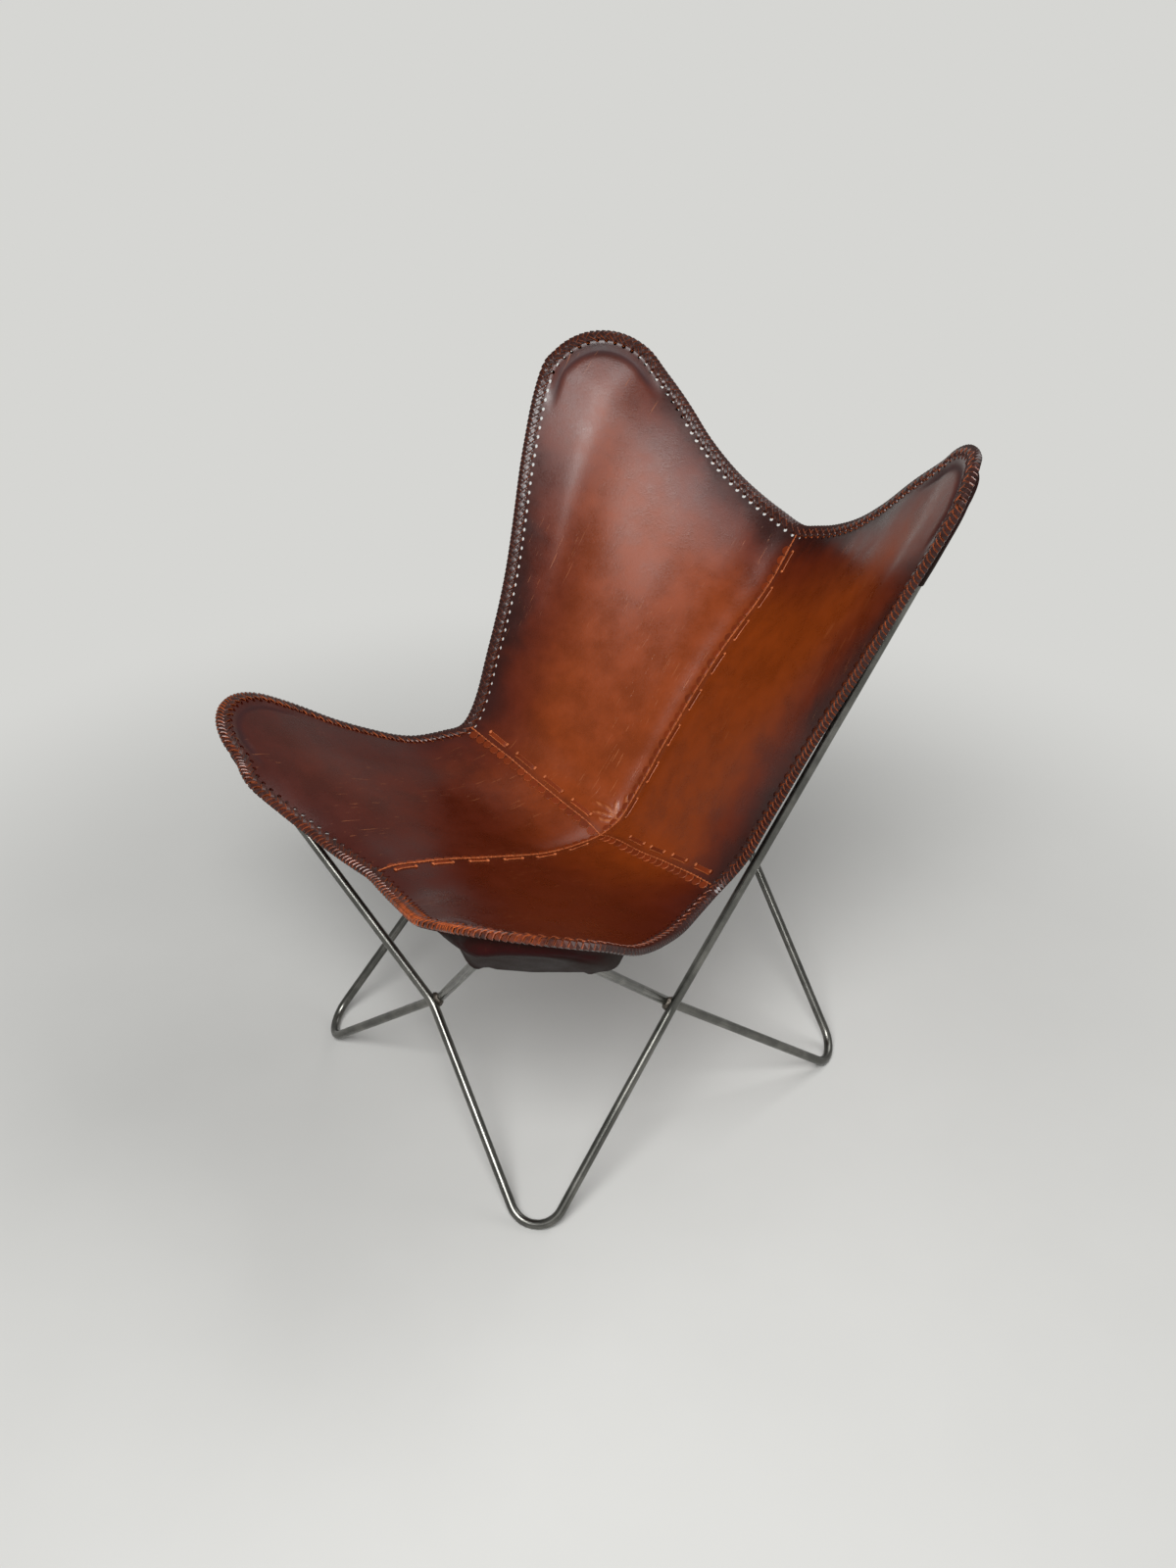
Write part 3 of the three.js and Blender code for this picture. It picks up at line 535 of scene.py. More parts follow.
def marked(bm, shoulder_cut, face_cut=0.0):
    """Mark the cut sides of a piece of thong by their slope, and return its mesh"""
    bm.normal_update()
    cut = bm.faces.layers.float["cut"]
    for face in bm.faces:
        rise = face.normal.z
        face[cut] = (1.0 if rise < SIDE_RISE else
                     shoulder_cut if rise < SHOULDER_RISE else face_cut)
    mesh = bpy.data.meshes.new("thong")
    bm.to_mesh(mesh)
    bm.free()
    return mesh


def strand(length, width, thickness, steps, chamfer, shoulder_cut=0.25):
    """A flat thong along X from 0, centred on Y, with its underside on Z = 0"""
    bm = thong_bmesh()
    bmesh.ops.create_cube(bm, size=1.0)
    bmesh.ops.translate(bm, verts=bm.verts, vec=(0.5, 0.0, 0.5))
    bmesh.ops.scale(bm, verts=bm.verts, vec=(length, width, thickness))
    lengthwise = [e for e in bm.edges if abs(e.verts[0].co.x - e.verts[1].co.x) > length / 2]
    bmesh.ops.subdivide_edges(bm, edges=lengthwise, cuts=steps - 1, use_grid_fill=True)
    shoulders = [e for e in bm.edges
                 if all(v.co.z > thickness / 2 and abs(v.co.y) > width / 4 for v in e.verts)
                 and abs(e.verts[0].co.x - e.verts[1].co.x) > length / steps / 2]
    bmesh.ops.bevel(bm, geom=shoulders, offset=chamfer, offset_type="OFFSET", segments=1,
                    profile=0.5, affect="EDGES", material=-1)
    return marked(bm, shoulder_cut)


def lay(bm, mesh, bend, shade):
    """Add a copy of a strand, each point moved by the bend"""
    first, first_face = len(bm.verts), len(bm.faces)
    bm.from_mesh(mesh)
    bm.verts.ensure_lookup_table()
    bm.faces.ensure_lookup_table()
    for vertex in bm.verts[first:]:
        vertex.co = bend(vertex.co)
    layer = bm.faces.layers.float["shade"]
    for face in bm.faces[first_face:]:
        face[layer] = shade


def eased(keys, share):
    """A value at a share of the way along evenly spaced keys, with soft turns"""
    place = min(max(share, 0.0), 1.0) * (len(keys) - 1)
    low = min(int(place), len(keys) - 2)
    part = place - low
    before, here = keys[max(low - 1, 0)], keys[low]
    there, after = keys[low + 1], keys[min(low + 2, len(keys) - 1)]
    return here + 0.5 * part * (there - before + part * (
        2 * before - 5 * here + 4 * there - after + part * (3 * (here - there) + after - before)))

# %% [markdown]
# ## The plait over the edge
# Seen from above, strands run out from each hole to a spine near the edge, and a second row
# runs from the spine over the edge and back underneath, slanting the other way. Each strand is
# given by four short lists: how far it has gone along the edge, across it, off the leather, and
# how it tilts, so that each lies on its neighbour like a shingle. Lengths there are in mm. Its
# width, its thickness and the share of the width that it starts with come before the lists.

# %% Find places on the wrapped edge
EDGE_ROUND = LEATHER / 2
EDGE_TURN = math.pi * EDGE_ROUND


def on_edge(length, across, lift):
    """A place across the edge: 0 at the holes' line, then over the rim and back underneath"""
    point, along, out, up = edge.frame(length)
    if across < HOLE_INSET:
        return on_skin(point - out * (HOLE_INSET - across))[0] + up * lift
    turn = (across - HOLE_INSET) / EDGE_ROUND
    if turn < math.pi:
        way = up * math.cos(turn) + out * math.sin(turn)
        return point - up * EDGE_ROUND + way * (EDGE_ROUND + lift)
    under = on_skin(point - out * (across - HOLE_INSET - EDGE_TURN))[0]
    return under - up * (LEATHER + lift)


ACROSS_ALL = 2 * HOLE_INSET + EDGE_TURN
STRANDS = {
    "inner": (0.0060, 0.0013, 0.62, [0.2, 1.4, 4.4, 7.4, 9.8, 11.6],
              [2.0, 3.0, 5.4, 8.0, 10.4, 12.4], [-2.0, 0.7, 1.9, 2.1, 2.1, 0.6],
              [0.0, 0.05, 0.16, 0.16, 0.1, 0.0]),
    "between": (0.0050, 0.0011, 0.8, [1.4, 3.0, 5.4, 7.8, 10.2, 11.8],
                [4.2, 5.2, 6.6, 8.4, 10.4, 12.0], [0.0, 0.7, 1.0, 1.1, 1.1, 0.4],
                [0.0, 0.1, 0.16, 0.16, 0.1, 0.0]),
    "outer": (0.0058, 0.0014, 1.0, [12.0, 10.0, 7.5, 5.0, 2.5, 0.0],
              [6.8, 9.2, 12.6, 16.2, 20.4, 24.6], [0.5, 1.9, 1.7, 1.2, 1.2, 0.5],
              [0.0, -0.08, -0.14, -0.14, -0.1, 0.0]),
    "under": (0.0060, 0.0013, 0.62, [0.0, 2.6, 5.4, 8.2, 10.4, 12.4],
              [32.2, 31.0, 29.0, 26.6, 24.2, 22.0], [-1.6, 0.8, 1.4, 1.6, 1.6, 0.5],
              [0.0, -0.05, -0.12, -0.12, -0.1, 0.0]),
}
STRAND_STEPS, STRAND_LENGTH, STRAND_CHAMFER = 8, 0.018, 0.0008
random.seed(7)


def bent_strand(kind, start, wobble):
    """The bend that lays a straight strand of one kind at a length along the edge"""
    _, _, waist, alongs, acrosses, lifts, tilts = STRANDS[kind]

    def bend(co):
        share = co.x / STRAND_LENGTH
        (a, w), (a1, w1), (a0, w0) = ([eased(keys, share + d) for keys in (alongs, acrosses)]
                                      for d in (0.0, 0.02, -0.02))
        da, dw = a1 - a0, w1 - w0
        size = math.hypot(da, dw)
        narrow = waist + (1 - waist) * min(1.0, share / 0.3)
        a += -dw / size * co.y * narrow * 1000
        w += da / size * co.y * narrow * 1000
        lift = eased(lifts, share) + co.z * 1000 + eased(tilts, share) * co.y * 1000
        return on_edge(start + (a + wobble) / 1000, w / 1000, lift / 1000)
    return bend


# %% Plait the eight runs of the edge
BRAIDS = ["front_edge_braid", "front_left_tip_braid", "left_edge_braid", "rear_left_tip_braid",
          "back_edge_braid", "rear_right_tip_braid", "right_edge_braid", "front_right_tip_braid"]
braid_trees = {}
for node in BRAIDS:
    bm = merged(node)
    braid_trees[node] = BVHTree.FromBMesh(bm)
    bm.free()


def run_of(length):
    point = edge.frame(length)[0]
    return min(BRAIDS, key=lambda n: braid_trees[n].find_nearest(point)[3])


straight = {kind: strand(STRAND_LENGTH, width, thick, STRAND_STEPS, STRAND_CHAMFER)
            for kind, (width, thick, *_) in STRANDS.items()}
plaits = {node: thong_bmesh() for node in BRAIDS}
gaps = [(b - a) % edge.length for a, b in zip(holes, holes[1:] + holes[:1])]
for start, gap in zip(holes, gaps):
    bm = plaits[run_of(start)]
    for kind, shift in (("inner", 0.0), ("between", 0.5), ("outer", 0.0), ("outer", 0.5),
                        ("under", 0.0), ("under", 0.5)):
        wobble = random.uniform(-0.35, 0.35)
        # Painted shade: the strands between the rows lie lower, under the outer row, and are made a
        # step darker.
        lay(bm, straight[kind], bent_strand(kind, start + shift * gap, wobble),
            random.uniform(-1.0, 1.0) - (1.0 if kind == "between" else 0.0))
print("plaited", len(holes) * 6, "strands")

# %% [markdown]
# ## The bed of the plait
# Under the strands that show, the thong's earlier rounds fill the binding. They only show as
# dark gaps between the strands, so a low strip is swept along the edge for them, and it is
# given the darkest tone of all, as painted shade in those gaps.

# %% Sweep the bed, and finish the braids
BED = [(3.0, 0.15), (5.0, 0.7), (9.0, 0.9), (13.5, 0.7), (16.5, 0.6), (19.5, 0.6), (23.0, 0.8),
       (28.0, 0.7), (32.0, 0.15)]
BED_STEP, BED_THICK, BED_PAINTED_SHADE = 0.004, 0.0004, -2.0


def carried(bm, row, count, place):
    """Extrude a row of points along, and hand each new row, in its order, to place"""
    edges = list(dict.fromkeys(e for v in row for e in v.link_edges))
    place(row, 0)
    for i in range(1, count):
        new = bmesh.ops.extrude_edge_only(bm, edges=edges)["geom"]
        edges = [g for g in new if isinstance(g, bmesh.types.BMEdge)]
        fresh = {v for e in edges for v in e.verts}
        row = [next(e.other_vert(v) for e in v.link_edges if e.other_vert(v) in fresh)
               for v in row]
        place(row, i)


beds = int(edge.length / BED_STEP)
for node in BRAIDS:
    turns = [i for i in range(beds) if run_of(i * BED_STEP) == node]
    first = next((k for k in range(len(turns)) if turns[k] - turns[k - 1] > 1), 0)
    turns = turns[first:] + turns[:first]
    turns.append(turns[-1] + 1)
    bm = thong_bmesh()
    row = [bm.verts.new() for _ in BED]
    for pair in zip(row, row[1:]):
        bm.edges.new(pair)

    def place(verts, i):
        for vertex, (w, h) in zip(verts, BED):
            vertex.co = on_edge(turns[i] * BED_STEP, w / 1000, h / 1000)

    carried(bm, row, len(turns), place)
    bmesh.ops.recalc_face_normals(bm, faces=bm.faces)
    # Painted shade: the bed takes the darkest tone, as the shade between the strands.
    for face in bm.faces:
        face[bm.faces.layers.float["shade"]] = BED_PAINTED_SHADE
    middles = [(f.normal, f.calc_center_median()) for f in bm.faces]
    if sum(normal.dot(middle - on_skin(middle)[0]) for normal, middle in middles) < 0:
        bmesh.ops.reverse_faces(bm, faces=bm.faces)
    bmesh.ops.solidify(bm, geom=bm.faces[:], thickness=BED_THICK)
    bm.to_mesh(scratch)
    plaits[node].from_mesh(scratch)
    bm.free()
braids = [made(node + "_plait", bm, "braided_thong", [node], 35) for node, bm in plaits.items()]
print("braid faces", sum(len(p.data.polygons) for p in braids))

# %% [markdown]
# ## The laced seams
# At each seam one panel laps over the other. Its cut edge stands up as a fine ridge, a row of
# small thong loops hooks over one side, and long flat running stitches lie on the other, with
# their ends tucked into slits. Loops and stitches are short pieces of thong again.

# %% Places along a seam
def on_seam(ruler, length, aside, lift):
    """A place beside a seam, off the leather"""
    point, along, out, up = ruler.frame(length)
    return on_skin(point + out * aside)[0] + up * lift


SEAM_END = 0.016
HUB_CLEAR = 0.006
LAP_WIDTH, LAP_HEIGHT = 0.0019, 0.0013
LOOP_STEP = 0.0139
LAP_STEP = 0.0014


def lap_ridge(bm, ruler, rng):
    """The raised cut edge of the upper panel, with a small swelling at each stitch"""
    count = int((ruler.length - 0.004) / LAP_STEP)
    ring = bmesh.ops.create_circle(bm, cap_ends=False, segments=8, radius=1.0)["verts"]
    shape = [(v.co.x, v.co.y) for v in ring]

    def place(verts, i):
        bead = math.cos(i * LAP_STEP / LOOP_STEP * math.tau) ** 8
        swell = 0.82 + 0.75 * bead + rng.uniform(-0.14, 0.14)
        drift = 0.0003 * math.sin(i * 0.11)
        for vertex, (x, y) in zip(verts, shape):
            vertex.co = on_seam(ruler, 0.001 + i * LAP_STEP, drift + x * LAP_WIDTH / 2 * swell,
                                LAP_HEIGHT * (0.35 + 0.65 * y * swell))

    carried(bm, ring, count, place)
    bmesh.ops.holes_fill(bm, edges=[e for e in bm.edges if e.is_boundary])
    bmesh.ops.recalc_face_normals(bm, faces=bm.faces)


def scallop(width, reach, thickness):
    """One thong loop: a flat tongue with a round end, reaching along Y"""
    bm = thong_bmesh()
    bmesh.ops.create_circle(bm, cap_ends=True, segments=14, radius=1.0)
    half = width / 2
    for vertex in bm.verts:
        x, y, _ = vertex.co
        vertex.co = (x * half, y * (half if y > 0 else reach - half) + reach - half, 0.0)
    top = bmesh.ops.extrude_face_region(bm, geom=bm.faces[:])["geom"]
    bmesh.ops.translate(bm, verts=[g for g in top if isinstance(g, bmesh.types.BMVert)],
                        vec=(0, 0, thickness))
    bmesh.ops.recalc_face_normals(bm, faces=bm.faces)
    rim_edges = [e for e in bm.edges if all(v.co.z > thickness / 2 for v in e.verts)]
    bmesh.ops.bevel(bm, geom=rim_edges, offset=thickness * 0.4, offset_type="OFFSET", segments=1,
                    profile=0.5, affect="EDGES", material=-1)
    return marked(bm, 0.3)


def knot(radius):
    """A small twist of thong where a stitch goes through its slit"""
    bm = thong_bmesh()
    bmesh.ops.create_icosphere(bm, subdivisions=2, radius=radius)
    bmesh.ops.scale(bm, verts=bm.verts, vec=(1.0, 1.5, 0.7))
    return marked(bm, 1.0, 1.0)


# %% [markdown]
# ### Where the loops and stitches go
# The photograph shows each seam laced a little differently. So each has its own row here: which
# side the loops hook over and how far they reach, which side the stitches lie on and how far
# from the seam, how long they are, where the first one starts, their step and their number.

# %% Lace the four seams
SEAM_LOOKS = {
    "back_seam_strip": (-1, 0.0085, 1, 0.0085, 0.0307, 0.0417, 0.0553, 8),
    "seat_seam_strip": (1, 0.0060, -1, 0.0078, 0.0290, 0.0300, 0.0548, 6),
    "left_cross_seam_strip": (1, 0.0112, -1, 0.0115, 0.0325, 0.0570, 0.0515, 4),
    "right_cross_seam_strip": (-1, 0.0112, 1, 0.0105, 0.0340, 0.0320, 0.0555, 4),
}
STITCH_WIDTH, STITCH_THICK = 0.0066, 0.0012
stitch_mesh = strand(1.0, STITCH_WIDTH, STITCH_THICK, 10, 0.0007, shoulder_cut=0.9)
knot_mesh = knot(0.0020)
TUCK = [-0.9, 0.25, 0.35, 0.35, 0.35, 0.35, 0.35, 0.25, -0.9]
# How much of the light cut colour the ridge takes: partly its raw edge, partly a painted highlight.
LAP_CUT_AND_HIGHLIGHT = 0.8
laced = []
for node, (hook, reach, lie, beside, long, first, apart, count) in SEAM_LOOKS.items():
    ruler, rng = seams[node], random.Random(node)
    bm = thong_bmesh()
    lap_ridge(bm, ruler, rng)
    # The whole ridge takes the light cut colour, which also paints the bright line of its
    # highlight.
    for face in bm.faces:
        face[bm.faces.layers.float["cut"]] = LAP_CUT_AND_HIGHLIGHT
    tongue = scallop(LOOP_STEP * 0.90, reach, 0.0010)
    for i in range(int((ruler.length - SEAM_END - HUB_CLEAR) / LOOP_STEP)):
        start = HUB_CLEAR + (i + 0.5) * LOOP_STEP + rng.uniform(-0.0005, 0.0005)
        stretch = rng.uniform(0.92, 1.08)
        lay(bm, tongue, lambda co: on_seam(
            ruler, start + co.x, hook * (co.y * stretch + 0.0004),
            co.z + 0.0001 + 0.0006 * max(0.0, 1 - co.y / 0.005)), rng.uniform(-1, 1))
    for i in range(count):
        start = first + i * apart + rng.uniform(-0.0012, 0.0012)
        aside = lie * (beside + rng.uniform(-0.0003, 0.0003))
        size = long * rng.uniform(0.94, 1.05)
        swing = rng.uniform(-0.02, 0.02)
        lay(bm, stitch_mesh, lambda co: on_seam(
            ruler, start + co.x * size, aside + co.y + swing * (co.x - 0.5) * size,
            co.z + eased(TUCK, co.x) / 1000), rng.uniform(-1, 1))
        for end in (0.0, 1.0):
            lay(bm, knot_mesh, lambda co: on_seam(
                ruler, start + end * size + co.x, aside + lie * STITCH_WIDTH / 4 + co.y,
                co.z + 0.0009), rng.uniform(-1, 1))
    bmesh.ops.recalc_face_normals(bm, faces=bm.faces)
    laced.append(made(node + "_lacing", bm, "seam_thong", [node], 38))
    print(laced[-1].name, len(laced[-1].data.polygons), "faces")

# %% [markdown]
# ## The rods
# The frame is two closed loops of 12 mm bare steel rod. A curve with a bevel would do, but a
# round section carried along by extrusion, and spun through each bend, is how the rod itself is
# drawn and bent. The lines come from the CAD legs: each leg gives its straight runs, and the
# bends are fillets between them. The feet are then planed flat where they wear on the floor.

# %% Find the corners of the two loops
ROD_RADIUS, ROD_SIDES = 0.006, 20
HORN_BEND, FOOT_BEND, CROSSING_BEND = 0.040, 0.036, 0.060
BEND_STEP, ROD_STEP = 5, 0.02


def ring_centres(node):
    """Middles of a CAD tube's rings, from one end to the other"""
    bm = merged(node)
    ring = {v for f in sides(bm)[-1] for v in f.verts}
    centres, seen = [], set()
    while ring:
        centres.append(sum((v.co for v in ring), Vector()) / len(ring))
        seen |= ring
        ring = {e.other_vert(v) for v in ring for e in v.link_edges} - seen
    bm.free()
    return centres


def crossing_point(a, b):
    """Where two lines, each a pair of points, come closest"""
    return sum(intersect_line_line(*a, *b), Vector()) / 2


LOOPS = {"first": [("front_right", "front_left"), ("rear_left", "front_left"),
                   ("rear_left", "rear_right"), ("front_right", "rear_right")],
         "second": [("front_left", "front_right"), ("rear_right", "front_right"),
                    ("rear_right", "rear_left"), ("front_left", "rear_left")]}
LEGS = {name: [f"leg_{horn}_horn_to_{foot}_foot" for horn, foot in ends]
        for name, ends in LOOPS.items()}


def loop_corners(legs):
    """Corner points of one rod loop, each with the radius of its bend"""
    lines = []
    for i, node in enumerate(legs):
        run = ring_centres(node)
        joins = ring_centres(legs[(i + 1) % len(legs)])
        near, far = (min((end - joins[k]).length for k in (0, -1)) for end in (run[0], run[-1]))
        if near < far:
            run.reverse()
        lines.append(((run[0], run[1]), (run[-2], run[-1])))
    corners = []
    for (start, end), (after, _) in zip(lines, lines[1:] + lines[:1]):
        corners.append((crossing_point(start, end), CROSSING_BEND))
        corner = crossing_point(end, after)
        corners.append((corner, FOOT_BEND if corner.z < 0.2 else HORN_BEND))
    return corners


loops = {name: loop_corners(legs) for name, legs in LEGS.items()}
for name, corners in loops.items():
    print(name, "loop", [tuple(round(v, 3) for v in corner) for corner, _ in corners])

# %% Draw and bend the rod
def rod_line(corners):
    """Points along a loop: long straight steps, and short ones round the bends"""
    points = []
    count = len(corners)
    for i, (corner, radius) in enumerate(corners):
        back = (corners[i - 1][0] - corner).normalized()
        on = (corners[(i + 1) % count][0] - corner).normalized()
        half = back.angle(on) / 2
        setback = radius / math.tan(half)
        centre = corner + (back + on).normalized() * radius / math.sin(half)
        start = corner + back * setback - centre
        turn = math.pi - 2 * half
        axis = start.cross(corner + on * setback - centre).normalized()
        steps = max(4, round(math.degrees(turn) / BEND_STEP))
        points += [centre + Matrix.Rotation(turn * k / steps, 3, axis) @ start
                   for k in range(steps + 1)]
    line = []
    for a, b in zip(points, points[1:] + points[:1]):
        cuts = max(1, round((b - a).length / ROD_STEP))
        line += [a.lerp(b, k / cuts) for k in range(cuts)]
    return line


def rod_mesh(line):
    """A round section carried along a closed line"""
    count = len(line)
    ways = [(line[(i + 1) % count] - line[i - 1]).normalized() for i in range(count)]
    side = ways[0].orthogonal().normalized()
    frames = []
    for i, way in enumerate(ways):
        if i:
            side = ways[i - 1].rotation_difference(way) @ side
        frames.append(side)
    closing = ways[-1].rotation_difference(ways[0]) @ side
    slip = math.copysign(frames[0].angle(closing), frames[0].cross(closing).dot(ways[0]))
    at = [0.0]
    for a, b in zip(line, line[1:]):
        at.append(at[-1] + (b - a).length)
    bm = bmesh.new()
    unrolled = bm.verts.layers.float_vector.new("drawn")
    ring = bmesh.ops.create_circle(bm, segments=ROD_SIDES, radius=ROD_RADIUS)["verts"]

    def place(verts, i):
        across = Matrix.Rotation(-slip * i / count, 3, ways[i]) @ frames[i]
        for k, vertex in enumerate(verts):
            angle = k * math.tau / ROD_SIDES
            vertex.co = line[i] + Matrix.Rotation(angle, 3, ways[i]) @ across * ROD_RADIUS
            vertex[unrolled] = (ROD_RADIUS * math.cos(angle), ROD_RADIUS * math.sin(angle), at[i])

    carried(bm, ring, count, place)
    bmesh.ops.bridge_loops(bm, edges=[e for e in bm.edges if e.is_boundary])
    bmesh.ops.bisect_plane(bm, geom=bm.verts[:] + bm.edges[:] + bm.faces[:], plane_co=(0, 0, 0),
                           plane_no=(0, 0, -1), clear_outer=True)
    bmesh.ops.holes_fill(bm, edges=[e for e in bm.edges if e.is_boundary])
    bmesh.ops.recalc_face_normals(bm, faces=bm.faces)
    return bm


rod_lines = [rod_line(corners) for corners in loops.values()]
rod_loops = []
for (name, legs), line in zip(LEGS.items(), rod_lines):
    bends = [n for n in nodes if n.endswith("_bend")
             and any(n.removesuffix("_bend") in leg for leg in legs)]
    rod_loops.append(made("rod_loop_" + name, rod_mesh(line), "steel_rod", legs + bends, 40))
    print(rod_loops[-1].name, len(line), "rings, replaces", bends)

# %% [markdown]
# ## The weld beads
# Where the loops cross they touch, and a short run of weld fills the corners on both sides. A
# bead is laid drop by drop, so its skin is a row of small waves. A ball is flattened between
# the two rods, and its points are moved in and out by noise and by those waves.

# %% Lay the weld beads
WELDS = ["front_weld", "left_weld", "right_weld", "rear_weld"]
WELD_REACH, WELD_DEPTH = 0.0098, 0.0066
DROPS, DROP_LIFT, LUMP_LIFT, LUMP_SCALE = 15, 0.045, 0.10, 2.2
weld_pieces = []
lines = [distance_tree(line) for line in rod_lines]
for node in WELDS:
    bm = merged(node)
    middle = sum((v.co for v in bm.verts), Vector()) / len(bm.verts)
    bm.free()
    ends = [tree.find(middle)[0] for tree in lines]
    across = (ends[1] - ends[0]).normalized()
    turn = across.to_track_quat("Z", "Y").to_matrix().to_4x4()
    bm = bmesh.new()
    bmesh.ops.create_icosphere(bm, subdivisions=4, radius=1.0)
    for vertex in bm.verts:
        co = vertex.co.copy()
        drops = math.sin(math.atan2(co.y, co.x) * DROPS + co.z * 3) * (1 - abs(co.z))
        co *= 1 + DROP_LIFT * drops + LUMP_LIFT * noise.noise(co * LUMP_SCALE + middle * 40)
        vertex.co = (co.x * WELD_REACH, co.y * WELD_REACH, co.z * WELD_DEPTH)
    bmesh.ops.transform(bm, verts=bm.verts, matrix=Matrix.Translation(middle) @ turn)
    weld_pieces.append(made(node + "_bead", bm, "weld_bead", [node]))
    weld_pieces[-1].data.shade_smooth()
print("weld beads", len(weld_pieces))

# %% [markdown]
# ## The four pockets
# Under each tip a patch of thinner leather is sewn to the edge, and the horn goes into it. It
# could be a flat patch, but worn leather takes the rod's shape. So the outer side of the CAD
# pocket is subdivided, laid flat under the row of holes, sloped down round the horn, drawn in
# at its outer corner, spread and slack at its inner one, and swollen over the two legs.

# %% Shape a pocket's wall
POCKET_THICK, POCKET_AIR = 0.0024, 0.0008
POCKET_UNDER = LEATHER + POCKET_AIR + POCKET_THICK
WALL_FROM = 0.0158
WALL_TO = {"rear": 0.0212, "front": 0.0258}
POCKET_HALF, POCKET_SPREAD, POCKET_DRAW = 0.095, 0.013, 0.010
SLACK_FROM, SLACK_TO, SLACK = 0.35, 1.10, 0.75
SWELL_FROM, SWELL_TO, ROD_NEAR = 0.034, 0.056, 0.2
POCKET_UNEVEN, UNEVEN_SCALE = 0.0005, 30
POCKETS = [n for n in nodes if n.endswith("_pocket")]


def draw_wall_in(mesh, node):
    """Keep a pocket flat under the holes, then slope it down round the rod"""
    centre = (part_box(node)[0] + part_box(node)[1]) / 2
    tip = max((v.co for v in rim if (v.co - centre).length < 0.15),
              key=lambda p: (p - skin_hub.co).length)
    wall_to = WALL_TO[node.split("_")[0]]
    to_middle = Vector((skin_hub.co.y - tip.y, tip.x - skin_hub.co.x, 0.0)).normalized()
    if to_middle.x * (MIRROR_X - tip.x) < 0:
        to_middle.negate()
    for vertex in mesh.vertices:
        place, normal = on_skin(vertex.co)
        depth = (place - vertex.co).dot(normal)
        aside = (place - tip).dot(to_middle) / POCKET_HALF
        way = (to_middle - normal * to_middle.dot(normal)).normalized()
        way *= POCKET_SPREAD * aside if aside > 0 else -POCKET_DRAW * aside
        place, normal = on_skin(place + way)
        vertex.co = place - normal * depth
        share = eased_in(rim_tree.find(place)[2], WALL_FROM, wall_to)
        share *= 1.0 - SLACK * eased_in(aside, SLACK_FROM, SLACK_TO)
        if depth > POCKET_UNDER:
            vertex.co = place - normal * (POCKET_UNDER + (depth - POCKET_UNDER) * share)
        vertex.co += normal * POCKET_UNEVEN * share * noise.noise(vertex.co * UNEVEN_SCALE)


def draw_over_rod(mesh):
    """Swell a pocket's wall over the rod that it hangs on, clear of the steel"""
    clear = ROD_RADIUS + POCKET_THICK + POCKET_AIR
    middle = sum((v.co for v in mesh.vertices), Vector()) / len(mesh.vertices)
    runs = [(a, b) for line in rod_lines for a, b in zip(line, line[1:] + line[:1])
            if (a - middle).length < ROD_NEAR]
    for vertex in mesh.vertices:
        place, normal = on_skin(vertex.co)
        depth = (place - vertex.co).dot(normal)
        free = eased_in(rim_tree.find(place)[2], SWELL_FROM, SWELL_TO)
        for a, b in runs:
            share = intersect_point_line(vertex.co, a, b)[1]
            steel = a.lerp(b, min(1.0, max(0.0, share)))
            away = vertex.co - steel
            aside = (away - normal * away.dot(normal)).length / clear
            needed = (place - steel).dot(normal) + clear * (1 - aside * aside / 2)
            depth += free * max(0.0, needed - depth)
        vertex.co = place - normal * depth


# %% Make the pockets
WIDE_RADIUS = 0.0032
SMOOTH_ROUNDS = 8
pockets = []
wide_plugs = plug_row("wide plugs", WIDE_RADIUS)
for node in POCKETS:
    low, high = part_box(node)
    tip_up = on_skin((low + high) / 2)[1]
    bm = one_side(node, lambda faces: -sum(f.normal.dot(tip_up) * f.calc_area() for f in faces))
    piece = made(node + "_patch", bm, "pocket_leather", [node])
    piece.data = subdivided(piece, SKIN_LEVELS)
    draw_wall_in(piece.data, node)
    draw_over_rod(piece.data)
    soft = bmesh.new()
    soft.from_mesh(piece.data)
    inside = [v for v in soft.verts if not v.is_boundary]
    for _ in range(SMOOTH_ROUNDS):
        bmesh.ops.smooth_vert(soft, verts=inside, factor=0.5,
                              use_axis_x=True, use_axis_y=True, use_axis_z=True)
    soft.to_mesh(piece.data)
    soft.free()
    modified(piece, "thick", "SOLIDIFY", thickness=POCKET_THICK, offset=-1.0)
    modified(piece, "rounded", "BEVEL", width=0.0006, segments=2, limit_method="ANGLE")
    pockets.append(punched(piece, wide_plugs))
for plugs in (plug_piece, wide_plugs):
    bpy.data.objects.remove(plugs)

# %% [markdown]
# ## Finishes
# Each finish is a small node tree around one Principled shader. Patterns read Object
# coordinates, which are metres on the real object, or the attributes written above. So grain is
# as fine as on the real hide, and stays where it is when the chair turns.

# %% Helpers for node trees
def srgb(red, green, blue):
    """A colour written as 0 to 255, as the linear values that a shader takes"""
    return tuple((c / 255 / 12.92 if c <= 10 else ((c / 255 + 0.055) / 1.055) ** 2.4)
                 for c in (red, green, blue)) + (1.0,)


